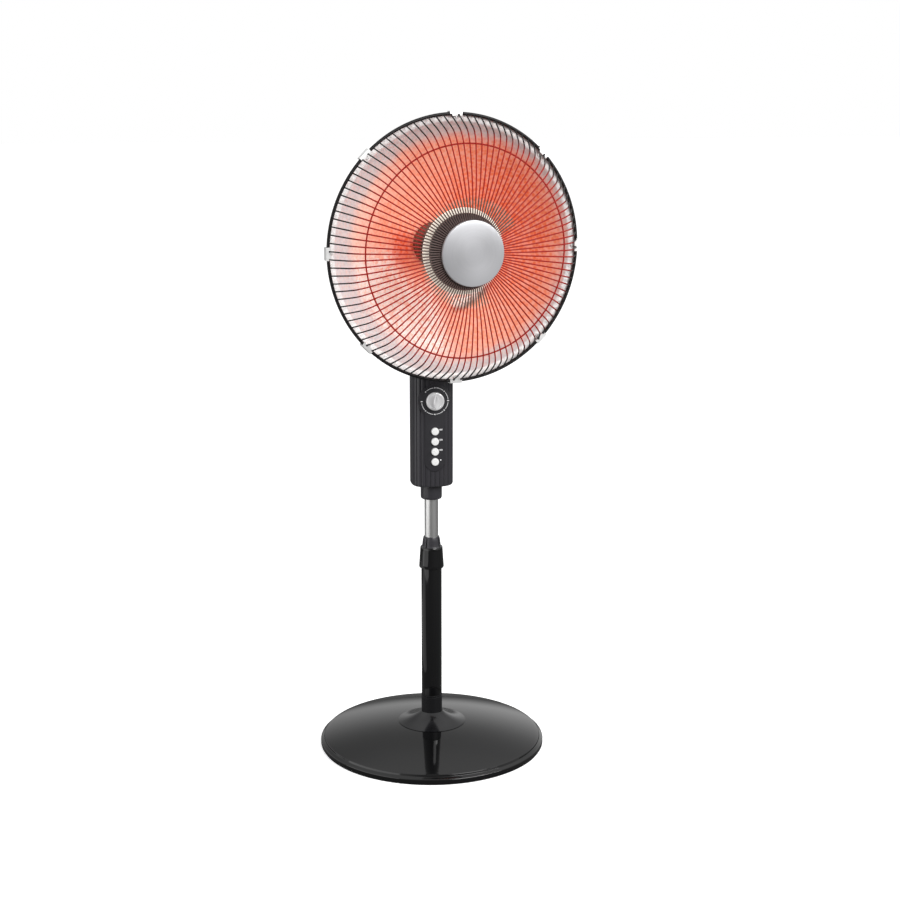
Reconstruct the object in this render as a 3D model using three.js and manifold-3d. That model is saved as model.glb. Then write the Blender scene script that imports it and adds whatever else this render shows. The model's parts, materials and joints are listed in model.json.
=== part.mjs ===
// Stand heater with a round reflector: a weighted base, a telescopic pole, a reeded control column and a
// head that swings and tilts. Millimetres, +Z up. The heater faces -Y and stands with the middle of its
// underside at the origin. The head is built along its own axis: there +Z points forward, out of the bowl,
// and zero is the plane of the guard's rim.

import * as THREE from 'three';
import { mergeVertices } from 'three/addons/utils/BufferGeometryUtils.js';
import Module from 'manifold-3d';

const wasm = await Module();
wasm.setup();

// Clearances and fineness
const seatGap = 0.3;
const turnGap = 0.4;
const cutOverrun = 1;
const mergeDistance = 0.001;
const largeSides = 32;
const cupSides = 24;
const mediumSides = 16;
const smallSides = 10;
const screwSides = 6;
const hexSides = 6;
const cornerSteps = 3;
const panelArcSteps = 8;
const planSampling = 16;

// Base
const padInset = 1.5;
const padThickness = 2;
const basePlateThickness = 2;
const basePlateHoleRadius = 14;
const baseRadius = 199.5;
const baseWall = 2.5;
const baseEdgeHeight = 10.5;
const baseShoulderInset = 6.5;
const baseShoulderHeight = 14.2;
const baseDomeRise = 25;
const domeStationShares = [0.78, 0.52];
const weightRadius = 150;
const weightThickness = 7.4;
const weightBossRadius = 25;
const weightBossHeight = 8;
const weightRecessRadius = 12;
const weightRecessDepth = 7;

// Pole socket, its bolt and the skirt round it
const socketStemRadius = 14;
const socketFlangeRadius = 21;
const socketFlangeThickness = 4;
const socketRadius = 18.4;
const socketBodyHeight = 44.3;
const socketSpigotHeight = 35;
const poleBoltRadius = 4;
const poleBoltLength = 45;
const poleBoltHeadRadius = 7.5;
const poleBoltHeadHeight = 5;
const washerRadius = 11;
const washerThickness = 1.5;
const skirtRimRadius = 60;
const skirtHeight = 19.5;
const skirtWall = 1.8;
const skirtWaistShares = [0.36, 0.28];

// Telescopic pole
const outerPoleRadius = 18;
const outerPoleWall = 1.5;
const outerPoleLength = 261.7;
const innerPoleRadius = 12;
const innerPoleWall = 1.2;
const innerPoleLength = 295;
const innerPoleShown = 69;
const poleGuideHeight = 12;
const poleGuideSpigotHeight = 15;
const colletInsertDepth = 22;
const colletFlangeHeight = 11.7;
const colletConeHeight = 18;
const colletTipRadius = 13.8;
const colletSlots = 4;
const colletSlotWidth = 2.4;
const lockNutHeight = 38;
const lockNutLowerRadius = 21.9;
const lockNutUpperRadius = 19.6;
const lockNutGrips = 8;
const lockNutGripRadius = 5;
const lockNutGripDepth = 0.8;

// Collar under the control column
const collarRadius = 18.7;
const collarHeight = 26;
const collarRounding = 4;
const collarSpigotRadius = 16;
const collarSpigotHeight = 20;
const collarFlangeRadius = 22;
const collarFlangeThickness = 4;
const collarScrewRadius = 2;
const collarScrewHeadRadius = 3.6;
const collarScrewHeadHeight = 2.6;

// Control column housing
const columnHalfWidth = 36.65;
const columnHalfDepth = 31;
const columnHeight = 264.7;
const columnSquareness = 3;
const columnWall = 2.8;
const columnCornerRadius = 8;
const reedPitch = 8.5;
const reedDepth = 1.2;
const shelfThickness = 2;
const shelfHalfWidth = 22;
const columnScrewSide = 25.5;
const columnScrewLowRise = 38;
const columnScrewHighDrop = 84;
const columnScrewRadius = 1.6;
const columnScrewHeadRadius = 3.2;
const columnScrewHeadHeight = 2.2;
const columnScrewSinking = 8;
const columnScrewGrip = 10;
const columnBossRadius = 4.6;
const glandRise = 62;
const glandBoreRadius = 3.5;
const glandBodyRadius = 6;
const glandFlangeRadius = 8;
const glandFlangeThickness = 2.2;
const glandInsideLength = 3;

// Control panel, timer and push buttons
const fasciaWidth = 35;
const fasciaThickness = 2;
const fasciaSinking = 0.4;
const dialRadius = 28.5;
const knobRise = 151.5;
const knobRadius = 15.7;
const knobDiscThickness = 6;
const knobBevel = 1.5;
const knobGripHeight = 9;
const knobGripHalfWidth = 4.2;
const knobGripHalfLength = 13.5;
const timerShaftRadius = 3;
const timerShaftInBody = 8;
const timerNeckRadius = 5;
const timerBodySize = 38;
const timerBodyDepth = 20;
const buttonCount = 4;
const buttonPitch = 17.8;
const lowestButtonRise = 45.3;
const buttonRadius = 6.5;
const buttonBevel = 1;
const buttonProud = 4.2;
const buttonTravel = 3.5;
const buttonFlangeRadius = 8.2;
const buttonFlangeThickness = 1.5;
const buttonStemRadius = 3;
const buttonStemInBlock = 3;
const switchBlockWidth = 22;
const switchBlockDepth = 16;
const switchBlockMargin = 12;
const switchBlockClearance = 1.4;

// Parts inside the column
const lowerShelfRise = 23.7;
const middleShelfRise = 92;
const motorShelfDrop = 58.3;
const tipSwitchRadius = 9;
const tipSwitchHeight = 28;
const motorRadius = 21;
const motorHeight = 18;
const motorShaftRadius = 2.5;
const motorShaftHeight = 7.7;
const crankOffset = 12.5;
const crankThrow = 7.7;
const crankDiscRadius = 12;
const crankDiscThickness = 4;
const crankHubRadius = 4;
const crankHubHeight = 2;
const crankPinRadius = 1.75;
const crankPinHeight = 9;
const crankPinCover = 1;
const crankSlotWidth = 6;
const swingArmWidth = 12;
const swingArmThickness = 4;
const swingArmTip = 2;

// Swivel and tilt
const restYaw = THREE.MathUtils.degToRad(8.4);
const swivelShaftRadius = 9;
const swivelShaftBore = 4;
const swivelShaftInNeck = 18;
const swivelShoulderRadius = 12;
const swivelBushWall = 4.6;
const swivelBushFlangeRadius = 20;
const swivelBushFlangeThickness = 3;
const neckFootRadius = 24;
const neckFootHeight = 5;
const neckWaistRadius = 15;
const neckHeight = 34;
const neckCheekThickness = 6;
const neckCheekRadius = 12;
const pivotRise = 64.7;
const tongueThickness = 21.4;
const tiltBoltRadius = 3.8;
const tiltBoltHeadRadius = 6.5;
const tiltBoltHeadThickness = 4.5;
const tiltBoltEnd = 3;
const saddleHalfWidth = 20;
const saddleDepth = 26;
const bracketWebShare = 0.8;
const saddleSkin = 6;
const saddleWrap = 7;
const saddleScrewSide = 15;
const saddleScrewRadius = 1.6;
const saddleScrewHeadRadius = 3.2;
const saddleScrewHeadHeight = 2.2;
const saddleScrewProud = 3;

// Reflector bowl and the cup behind it. headForward is from the column's axis to the guard's rim plane.
const headRise = 88;
const headForward = 114;
const bowlRadius = 206;
const bowlDepth = 96.5;
const bowlFlatRadius = 38;
const bowlHoleRadius = 26;
const sheetThickness = 1.2;
const bowlFlangeWidth = 11;
const bowlLipDepth = 4;
const bowlStationShares = [0, 0.26, 0.51, 0.76, 1];
const mountPlateThickness = 3;
const cupRadius = 65;
const cupWall = 2.5;
const cupLength = 36;
const coverLength = 30;
const coverCrownShare = 0.82;
const coverShoulderShare = 0.6;
const ventCount = 6;
const ventWidth = 4;
const ventInnerRadius = 18;
const ventLength = 24;

// Heating element
const elementBaseRadius = 37;
const elementBaseThickness = 9.7;
const coreRadius = 24;
const coreLength = 117.4;
const tieRodRadius = 3;
const tieNutRadius = 6;
const tieNutThickness = 4.5;
const coilTurns = 6;
const coilTurnSteps = 24;
const coilSides = 6;
const coilWireRadius = 2.2;
const coilPitch = 15.4;
const coilBendRadius = 5;
const coilBendSteps = 3;
const deflectorRadius = 70;
const deflectorThickness = 2.4;
const deflectorConeRise = 5;
const shieldRadius = 62;
const shieldHeight = 17;
const shieldWall = 1.4;
const shieldStandoff = 6;
const shieldBossRadius = 8;
const shieldRoundingShares = [[1, 0], [1, 0.55], [0.86, 1]];

// Front guard, its cap and its clips
const wireCount = 104;
const wirePhase = 0.68;
const wireThickness = 2.3;
const rimInset = 0.5;
const rimWireRadius = 3.2;
const rimSides = 5;
const rimFaceAngle = THREE.MathUtils.degToRad(120);
const midRingInset = 44.5;
const midRingForward = 53;
const midRingWidth = 2.6;
const hubPlateRadius = 49;
const hubPlateForward = 72;
const hubPlateThickness = 3;
const rimKneeShares = [0.494, 0.726];
const domeKneeShares = [0.512, 0.79];
const capRadius = 53;
const capThickness = 6.5;
const capBevelShare = 0.25;
const capCrownShare = 0.85;
const clipCount = 8;
const clipWidth = 21;
const clipSheet = 1.2;
const clipHookLength = 3;
const clipFootLength = 13;
const clipScrewRadius = 1.5;
const clipScrewHeadRadius = 3;
const clipScrewHeadHeight = 2;
const clipScrewInset = 6.5;
const clipScrewProud = 2;

// Levels, worked out from the floor up
const padRadius = baseRadius - padInset;
const plateBottom = padThickness + seatGap;
const plateTop = plateBottom + basePlateThickness;
const weightBottom = plateTop + seatGap;
const weightTop = weightBottom + weightThickness;
const weightBossTop = weightTop + weightBossHeight;
const shoulderRadius = baseRadius - baseShoulderInset;
const edgeTop = plateBottom + baseEdgeHeight;
const shoulderTop = plateBottom + baseShoulderHeight;
const baseHoleRadius = socketStemRadius + seatGap;
const socketFlangeBottom = domeLevel(baseHoleRadius) + seatGap;
const socketFlangeTop = socketFlangeBottom + socketFlangeThickness;
const socketTop = socketFlangeTop + socketBodyHeight;
const outerPoleBore = outerPoleRadius - outerPoleWall;
const outerPoleBottom = socketTop + seatGap;
const outerPoleTop = outerPoleBottom + outerPoleLength;
const colletFlangeBottom = outerPoleTop + seatGap;
const lockNutTop = colletFlangeBottom + colletFlangeHeight;
const colletTop = lockNutTop + colletConeHeight;
const collarBottom = colletTop + innerPoleShown;
const columnBottom = collarBottom + collarHeight + seatGap;
const columnTop = columnBottom + columnHeight;
const innerPoleTop = columnBottom + collarSpigotHeight;
const innerPoleBottom = innerPoleTop - innerPoleLength;
const motorShelfRise = columnHeight - motorShelfDrop;
const neckBottom = columnTop + seatGap;
const pivotHeight = neckBottom + pivotRise;
const headHeight = pivotHeight + headRise;

// Planes across the column, measured along -Y from its axis
const pocketFloor = columnHalfDepth - fasciaSinking - fasciaThickness - seatGap;
const fasciaFront = columnHalfDepth - fasciaSinking;
const cavityHalfWidth = columnHalfWidth - reedDepth - columnWall;
const cavityHalfDepth = columnHalfDepth - reedDepth - columnWall;
const buttonFlangeFront = cavityFace(buttonFlangeRadius) - seatGap;
const switchBlockFront = buttonFlangeFront - buttonFlangeThickness - buttonTravel - switchBlockClearance;
const timerBodyFront = cavityFace(timerBodySize / 2) - 2 * seatGap;

// Radii of the rim, worked out from the bowl
const bowlFlangeRadius = bowlRadius + bowlFlangeWidth;
const rimCentreRadius = bowlFlangeRadius - rimInset;
const midRingRadius = rimCentreRadius - midRingInset;

// Stations along the head's axis, zero at the rim plane and positive forward
const flangeFront = -(rimWireRadius + seatGap);
const bowlFloor = flangeFront - bowlDepth;
const mountPlateFront = bowlFloor - sheetThickness - seatGap;
const mountPlateBack = mountPlateFront - mountPlateThickness;
const cupFront = bowlBack(cupRadius) - seatGap;
const cupBack = cupFront - cupLength;
const coverFront = cupBack - seatGap;
const coverBack = coverFront - coverLength;
const elementBaseFront = bowlFloor + seatGap + elementBaseThickness;
const coreFront = elementBaseFront + seatGap + coreLength;
const deflectorFront = coreFront + seatGap + deflectorThickness;
const shieldBack = deflectorFront + deflectorConeRise + shieldStandoff;
const shieldFront = shieldBack + shieldHeight;
const hubPlateFront = hubPlateForward + hubPlateThickness / 2;
const hubPlateBack = hubPlateForward - hubPlateThickness / 2;

// Finishes
const glossBlack = { color: 0x0a0a0b, roughness: 0.12, metalness: 0 };
const satinBlack = { color: 0x17171a, roughness: 0.45, metalness: 0 };
const mattBlack = { color: 0x101012, roughness: 0.7, metalness: 0 };
const blackSteel = { color: 0x121214, roughness: 0.3, metalness: 0.4 };
const brightSteel = { color: 0xc4c6c8, roughness: 0.25, metalness: 1 };
const brushedSilver = { color: 0xb9babc, roughness: 0.35, metalness: 0.9 };
const hammeredAluminium = { color: 0xd8d4d0, roughness: 0.28, metalness: 1 };
const whitePlastic = { color: 0xe9e9e6, roughness: 0.35, metalness: 0 };
const castIron = { color: 0x3a3a3c, roughness: 0.8, metalness: 0.6 };
const darkCeramic = { color: 0x3b2a24, roughness: 0.75, metalness: 0 };
const paleCeramic = { color: 0xe8e1d2, roughness: 0.6, metalness: 0 };
const heatingWire = { color: 0xb0482a, roughness: 0.6, metalness: 0.5 };

// Height of the base's domed top at a radius
function domeLevel(radius) {
  return shoulderTop + baseDomeRise * (1 - (radius / shoulderRadius) ** 2);
}

// Depth of the column's cavity at a distance to the side
function cavityFace(side) {
  return cavityHalfDepth * (1 - (side / cavityHalfWidth) ** columnSquareness) ** (1 / columnSquareness);
}

// Forward station of the bowl's front face, and of its back face, at a radius
function bowlFace(radius) {
  const flat = bowlFlatRadius ** 2;
  const share = Math.max(radius ** 2 - flat, 0) / (bowlRadius ** 2 - flat);
  return bowlFloor + bowlDepth * share;
}

function bowlBack(radius) {
  return bowlFace(radius) - sheetThickness;
}

// A closed three.js geometry as a solid with shared corners and its faces out
function solidOf(geometry) {
  const bare = geometry.index ? geometry.toNonIndexed() : geometry.clone();
  for (const name of Object.keys(bare.attributes)) {
    if (name !== 'position') bare.deleteAttribute(name);
  }
  const merged = mergeVertices(bare, mergeDistance);
  const points = merged.attributes.position.array;
  const corners = merged.index.array;
  const kept = [];
  let sixVolumes = 0;
  for (let i = 0; i < corners.length; i += 3) {
    const [a, b, c] = corners.slice(i, i + 3);
    if (a === b || b === c || c === a) continue;
    kept.push(a, b, c);
    const [p, q, r] = [a, b, c].map((n) => new THREE.Vector3().fromArray(points, 3 * n));
    sixVolumes += p.dot(q.cross(r));
  }
  const triVerts = new Uint32Array(sixVolumes < 0 ? kept.reverse() : kept);
  return new wasm.Manifold(new wasm.Mesh({ numProp: 3, vertProperties: points, triVerts }));
}

function geometryOf(solid) {
  const mesh = solid.getMesh();
  const geometry = new THREE.BufferGeometry();
  geometry.setAttribute('position', new THREE.BufferAttribute(mesh.vertProperties, 3));
  geometry.setIndex(new THREE.BufferAttribute(mesh.triVerts, 1));
  const faceted = geometry.toNonIndexed();
  faceted.computeVertexNormals();
  return faceted;
}

function combine(operation, first, others) {
  const start = solidOf(first);
  return geometryOf(others.flat().reduce((solid, other) => solid[operation](solidOf(other)), start));
}

function join(first, ...others) {
  return combine('add', first, others);
}

function cut(first, ...tools) {
  return combine('subtract', first, tools);
}

function keep(first, ...others) {
  return combine('intersect', first, others);
}

// Turned shapes: a closed outline of [radius, height] points round the Z axis
function turned(outline, sides) {
  const points = [...outline, outline[0]].map(([radius, height]) => new THREE.Vector2(radius, height));
  return new THREE.LatheGeometry(points, sides).rotateX(Math.PI / 2);
}

function rod(radius, bottom, top, sides = smallSides) {
  return turned([[0, bottom], [radius, bottom], [radius, top], [0, top]], sides);
}

function tube(radius, bore, bottom, top, sides = mediumSides) {
  return turned([[bore, bottom], [radius, bottom], [radius, top], [bore, top]], sides);
}

function block(width, depth, bottom, top) {
  return new THREE.BoxGeometry(width, depth, top - bottom).translate(0, 0, (bottom + top) / 2);
}

// Rods that lie along X and along Y, between two places on that axis
function rodAlongX(radius, start, end, sides = smallSides) {
  return rod(radius, start, end, sides).rotateY(Math.PI / 2);
}

function rodAlongY(radius, start, end, sides = smallSides) {
  return rod(radius, start, end, sides).rotateX(-Math.PI / 2);
}

// A cap-head screw along +Z: its head ends at zero and its shank runs from there. Grown, it is its own hole.
function screw(radius, length, headRadius, headHeight, growth = 0) {
  const head = rod(headRadius + growth, -headHeight - growth, 0, screwSides);
  const shank = rod(radius + growth, -headHeight / 2, length + growth, screwSides);
  return join(head, shank);
}

function piece(name, geometry, finish) {
  const mesh = new THREE.Mesh(geometryOf(solidOf(geometry)), new THREE.MeshStandardMaterial(finish));
  mesh.name = name;
  return mesh;
}

function extruded(shape, depth) {
  return new THREE.ExtrudeGeometry(shape, { depth, bevelEnabled: false, curveSegments: cornerSteps });
}

// A rounded rectangle in the drawing plane, from one corner to the other
function roundedRectangle(left, bottom, right, top, radius) {
  const shape = new THREE.Shape();
  shape.moveTo(left + radius, bottom);
  shape.lineTo(right - radius, bottom);
  shape.absarc(right - radius, bottom + radius, radius, -Math.PI / 2, 0);
  shape.lineTo(right, top - radius);
  shape.absarc(right - radius, top - radius, radius, 0, Math.PI / 2);
  shape.lineTo(left + radius, top);
  shape.absarc(left + radius, top - radius, radius, Math.PI / 2, Math.PI);
  shape.lineTo(left, bottom + radius);
  shape.absarc(left + radius, bottom + radius, radius, Math.PI, 1.5 * Math.PI);
  return shape;
}

// A drawing in X and Z, given thickness along Y from one plane to the other
function upright(shape, near, far) {
  return extruded(shape, far - near).rotateX(Math.PI / 2).translate(0, far, 0);
}

// BASE

function floorPad() {
  return piece('floor_pad', rod(padRadius, 0, padThickness, largeSides), mattBlack);
}

function basePlate() {
  const radius = baseRadius - baseWall - seatGap;
  const plate = tube(radius, basePlateHoleRadius, plateBottom, plateTop, largeSides);
  return piece('base_plate', plate, blackSteel);
}

function baseShell() {
  const inner = baseRadius - baseWall;
  const outside = [[baseRadius, plateBottom], [baseRadius, edgeTop], [shoulderRadius, shoulderTop]];
  for (const share of domeStationShares) {
    outside.push([share * shoulderRadius, domeLevel(share * shoulderRadius)]);
  }
  outside.push([baseHoleRadius, domeLevel(baseHoleRadius)]);
  const inside = [[baseHoleRadius, domeLevel(baseHoleRadius) - baseWall]];
  for (const share of [...domeStationShares].reverse()) {
    inside.push([share * shoulderRadius, domeLevel(share * shoulderRadius) - baseWall]);
  }
  inside.push([shoulderRadius - baseWall, shoulderTop - baseWall], [inner, edgeTop - baseWall],
    [inner, plateBottom]);
  return piece('base_shell', turned([...outside, ...inside], largeSides), glossBlack);
}

function baseWeight() {
  const recessTop = weightBottom + weightRecessDepth;
  const hole = poleBoltRadius + seatGap;
  const outline = [[weightRecessRadius, weightBottom], [weightRadius, weightBottom],
    [weightRadius, weightTop], [weightBossRadius, weightTop], [weightBossRadius, weightBossTop],
    [hole, weightBossTop], [hole, recessTop], [weightRecessRadius, recessTop]];
  return piece('base_weight', turned(outline, mediumSides), castIron);
}

function poleBolt() {
  const washerTop = weightBottom + weightRecessDepth - seatGap;
  const headTop = washerTop - washerThickness / 2;
  const head = rod(poleBoltHeadRadius, washerTop - washerThickness - poleBoltHeadHeight, headTop, hexSides);
  const washer = rod(washerRadius, washerTop - washerThickness, washerTop);
  const shank = rod(poleBoltRadius, headTop, washerTop + poleBoltLength);
  return piece('pole_bolt', join(washer, head, shank), brightSteel);
}

function poleSocket() {
  const bottom = weightBossTop + seatGap;
  const spigot = outerPoleBore - seatGap;
  const bore = poleBoltRadius + turnGap;
  const boreTop = weightBottom + weightRecessDepth + poleBoltLength;
  const outline = [[bore, bottom], [socketStemRadius, bottom], [socketStemRadius, socketFlangeBottom],
    [socketFlangeRadius, socketFlangeBottom], [socketFlangeRadius, socketFlangeTop],
    [socketRadius, socketFlangeTop], [socketRadius, socketTop], [spigot, socketTop],
    [spigot, socketTop + socketSpigotHeight], [0, socketTop + socketSpigotHeight], [0, boreTop],
    [bore, boreTop]];
  return piece('pole_socket', turned(outline, mediumSides), mattBlack);
}

// The skirt's outside is a hollow curve from its rim on the dome up to its neck round the socket
function baseSkirt() {
  const neckRadius = socketRadius + seatGap;
  const rimLevel = domeLevel(skirtRimRadius) + seatGap;
  const neckLevel = rimLevel + skirtHeight;
  const hollowCurve = (inset, steps) => new THREE.QuadraticBezierCurve(
    new THREE.Vector2(skirtRimRadius - 2 * inset, rimLevel + seatGap),
    new THREE.Vector2(neckRadius + skirtWaistShares[0] * (skirtRimRadius - neckRadius) - inset,
      rimLevel + skirtWaistShares[1] * skirtHeight - inset / 2),
    new THREE.Vector2(neckRadius + skirtWall - inset, neckLevel),
  ).getPoints(steps).map((point) => [point.x, point.y]);
  const outside = hollowCurve(0, cornerSteps + 1);
  const inside = hollowCurve(skirtWall, cornerSteps - 1).reverse();
  return piece('base_skirt', turned([...outside, ...inside], mediumSides), satinBlack);
}

// POLE

function outerPole() {
  return piece('outer_pole', tube(outerPoleRadius, outerPoleBore, outerPoleBottom, outerPoleTop), glossBlack);
}

function poleCollet() {
  const bore = innerPoleRadius + turnGap;
  const outline = [[bore, outerPoleTop - colletInsertDepth],
    [outerPoleBore - seatGap, outerPoleTop - colletInsertDepth],
    [outerPoleBore - seatGap, colletFlangeBottom], [outerPoleRadius, colletFlangeBottom],
    [outerPoleRadius, lockNutTop], [colletTipRadius, colletTop], [bore, colletTop]];
  const slot = block(colletSlotWidth, 2 * outerPoleRadius, lockNutTop, colletTop + cutOverrun);
  const slots = [];
  for (let i = 0; i < colletSlots / 2; i += 1) slots.push(slot.clone().rotateZ((i + 0.5) * Math.PI / 2));
  return piece('pole_collet', cut(turned(outline, mediumSides), slots), satinBlack);
}

function heightLockNut() {
  const bottom = lockNutTop - lockNutHeight;
  const bore = outerPoleRadius + turnGap;
  const edge = lockNutGripDepth;
  const outline = [[bore, bottom], [lockNutLowerRadius - edge, bottom], [lockNutLowerRadius, bottom + edge],
    [lockNutUpperRadius, lockNutTop - edge], [lockNutUpperRadius - edge, lockNutTop], [bore, lockNutTop]];
  const centre = lockNutLowerRadius + lockNutGripRadius - lockNutGripDepth;
  const grips = [];
  for (let i = 0; i < lockNutGrips; i += 1) {
    const groove = rod(lockNutGripRadius, bottom - cutOverrun, lockNutTop + cutOverrun);
    grips.push(groove.translate(centre, 0, 0).rotateZ((i + 0.5) * 2 * Math.PI / lockNutGrips));
  }
  return piece('height_lock_nut', cut(turned(outline, mediumSides), grips), glossBlack);
}

function innerPole() {
  const bore = innerPoleRadius - innerPoleWall;
  return piece('inner_pole', tube(innerPoleRadius, bore, innerPoleBottom, innerPoleTop), brightSteel);
}

function innerPoleGuide() {
  const spigot = innerPoleRadius - innerPoleWall - seatGap;
  const shoulder = innerPoleBottom - seatGap;
  const outline = [[0, shoulder - poleGuideHeight], [outerPoleBore - turnGap, shoulder - poleGuideHeight],
    [outerPoleBore - turnGap, shoulder], [spigot, shoulder], [spigot, shoulder + poleGuideSpigotHeight],
    [0, shoulder + poleGuideSpigotHeight]];
  return piece('inner_pole_guide', turned(outline, mediumSides), whitePlastic);
}

// COLLAR

function collarScrewTool(growth) {
  const length = collarRadius - innerPoleRadius;
  const tool = screw(collarScrewRadius, length, collarScrewHeadRadius, collarScrewHeadHeight, growth);
  const height = collarBottom + collarHeight / 2;
  return tool.rotateX(Math.PI / 2).translate(0, collarRadius + seatGap, height);
}

function columnCollar() {
  const shoulder = columnBottom - seatGap;
  const bore = innerPoleRadius + seatGap;
  const flangeBottom = columnBottom + columnWall + seatGap;
  const flangeTop = flangeBottom + collarFlangeThickness;
  const outline = [[bore, collarBottom], [collarRadius - collarRounding / 2, collarBottom],
    [collarRadius, collarBottom + collarRounding],
    [collarRadius, shoulder], [collarSpigotRadius, shoulder], [collarSpigotRadius, flangeBottom],
    [collarFlangeRadius, flangeBottom], [collarFlangeRadius, flangeTop], [collarSpigotRadius, flangeTop],
    [collarSpigotRadius, innerPoleTop], [bore, innerPoleTop]];
  return piece('column_collar', cut(turned(outline, mediumSides), collarScrewTool(seatGap)), satinBlack);
}

// CONTROL COLUMN

// Points round the rounded-square plan, even along its length, each with the direction that faces out
function columnPlan(halfWidth, halfDepth, count) {
  const samples = [];
  const fine = planSampling * count;
  const bend = 2 / columnSquareness;
  for (let i = 0; i <= fine; i += 1) {
    const angle = i * 2 * Math.PI / fine;
    const [c, s] = [Math.cos(angle), Math.sin(angle)];
    samples.push(new THREE.Vector2(halfWidth * Math.sign(c) * Math.abs(c) ** bend,
      halfDepth * Math.sign(s) * Math.abs(s) ** bend));
  }
  const travelled = [0];
  for (let i = 1; i <= fine; i += 1) travelled.push(travelled[i - 1] + samples[i].distanceTo(samples[i - 1]));
  const points = [];
  let at = 0;
  for (let i = 0; i < count; i += 1) {
    const wanted = i * travelled[fine] / count;
    while (travelled[at + 1] < wanted) at += 1;
    const share = (wanted - travelled[at]) / (travelled[at + 1] - travelled[at]);
    const point = samples[at].clone().lerp(samples[at + 1], share);
    const along = samples[at + 1].clone().sub(samples[at]).normalize();
    points.push({ point, out: new THREE.Vector2(along.y, -along.x) });
  }
  return { points, length: travelled[fine] };
}

// The outside of the column's front: reeds that stand side by side, from one seam round to the other
function reededShape() {
  const grooveShares = [1, 0, 0];
  const length = columnPlan(columnHalfWidth, columnHalfDepth, 4 * grooveShares.length).length;
  const reeds = 4 * Math.round(length / reedPitch / 4);
  const count = reeds * grooveShares.length;
  const { points } = columnPlan(columnHalfWidth, columnHalfDepth, count);
  return new THREE.Shape(points.map(({ point, out }, i) => (
    point.clone().addScaledVector(out, -reedDepth * grooveShares[i % grooveShares.length]))));
}

function cavitySolid(bottom, top) {
  const { points } = columnPlan(cavityHalfWidth, cavityHalfDepth, cupSides);
  return extruded(new THREE.Shape(points.map(({ point }) => point)), top - bottom).translate(0, 0, bottom);
}

// Everything in front of the split plane, or behind it
function halfSpace(side) {
  const reach = 2 * columnHalfWidth;
  const depth = 2 * columnHalfDepth;
  const offset = side * (depth + seatGap) / 2;
  return block(reach, depth, columnBottom - cutOverrun, columnTop + cutOverrun).translate(0, offset, 0);
}

// The rear is smooth and lies flush with the bottom of the reeds' grooves
function smoothShape() {
  const { points } = columnPlan(columnHalfWidth - reedDepth / 2, columnHalfDepth, largeSides);
  return new THREE.Shape(points.map(({ point }) => point));
}

function columnShell(plan) {
  const outside = extruded(plan, columnHeight).translate(0, 0, columnBottom);
  const frontView = roundedRectangle(-columnHalfWidth, columnBottom, columnHalfWidth, columnTop,
    columnCornerRadius);
  const envelope = upright(frontView, -columnHalfDepth - cutOverrun, columnHalfDepth + cutOverrun);
  const collarHole = rod(collarSpigotRadius + seatGap, columnBottom - cutOverrun,
    columnBottom + columnWall + cutOverrun, mediumSides);
  const bushHole = rod(swivelShaftRadius + turnGap + swivelBushWall + seatGap,
    columnTop - columnWall - cutOverrun, columnTop + cutOverrun, mediumSides);
  const cavity = cavitySolid(columnBottom + columnWall, columnTop - columnWall);
  return cut(keep(outside, envelope), cavity, collarHole, bushHole);
}

function columnScrewPlaces() {
  const low = columnBottom + columnScrewLowRise;
  return [[-columnScrewSide, low], [columnScrewSide, low], [0, columnTop - columnScrewHighDrop]];
}

// Each screw enters from the back, is sunk in the rear shell's boss and bites into the front shell's boss
function columnScrews(growth) {
  const headPlane = columnHalfDepth - columnScrewSinking;
  return columnScrewPlaces().map(([side, level]) => screw(columnScrewRadius, headPlane + columnScrewGrip,
    columnScrewHeadRadius, columnScrewHeadHeight, growth).rotateX(Math.PI / 2)
    .translate(side, headPlane, level));
}

function columnBosses(side) {
  return columnScrewPlaces().map(([place, level]) => {
    const wall = cavityFace(Math.abs(place)) + columnWall / 2;
    const [near, far] = side > 0 ? [0, wall] : [-wall, 0];
    return rodAlongY(columnBossRadius, near, far, screwSides).translate(place, 0, level);
  });
}

function screwWells() {
  const headPlane = columnHalfDepth - columnScrewSinking;
  return columnScrewPlaces().map(([place, level]) => (
    rodAlongY(columnScrewHeadRadius + seatGap, headPlane - columnScrewHeadHeight / 2,
      columnHalfDepth + cutOverrun, screwSides).translate(place, 0, level)));
}

// A ledge across the inside of the front shell, side -1, or of the rear shell, side 1
function shelf(rise, side) {
  const level = columnBottom + rise;
  const reach = cavityFace(shelfHalfWidth) + columnWall / 2;
  return block(2 * shelfHalfWidth, reach, level, level + shelfThickness).translate(0, side * reach / 2, 0);
}

// A keyhole in the front view: a disc behind the dial, and below it a strip that ends round its last button
function panelShape(margin) {
  const radius = dialRadius + margin;
  const half = fasciaWidth / 2 + margin;
  const meet = Math.asin(half / radius);
  const outline = new THREE.Path();
  outline.absarc(0, columnBottom + knobRise, radius, meet - Math.PI / 2, 3 * Math.PI / 2 - meet);
  outline.absarc(0, buttonLevel(buttonCount - 1), half, Math.PI, 2 * Math.PI);
  return new THREE.Shape(outline.getPoints(panelArcSteps));
}

// The front wall comes forward behind the dial, where the reeds curve back from the panel
function dialBoss() {
  const boss = rodAlongY(dialRadius, -pocketFloor, -cavityFace(dialRadius), cupSides);
  return cut(boss.translate(0, 0, columnBottom + knobRise), cavitySolid(columnBottom, columnTop));
}

function buttonLevel(i) {
  return columnBottom + lowestButtonRise + (buttonCount - 1 - i) * buttonPitch;
}

function buttonHoles(radius, near, far) {
  const holes = [];
  for (let i = 0; i < buttonCount; i += 1) {
    holes.push(rodAlongY(radius, near, far, smallSides).translate(0, 0, buttonLevel(i)));
  }
  return holes;
}

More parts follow.
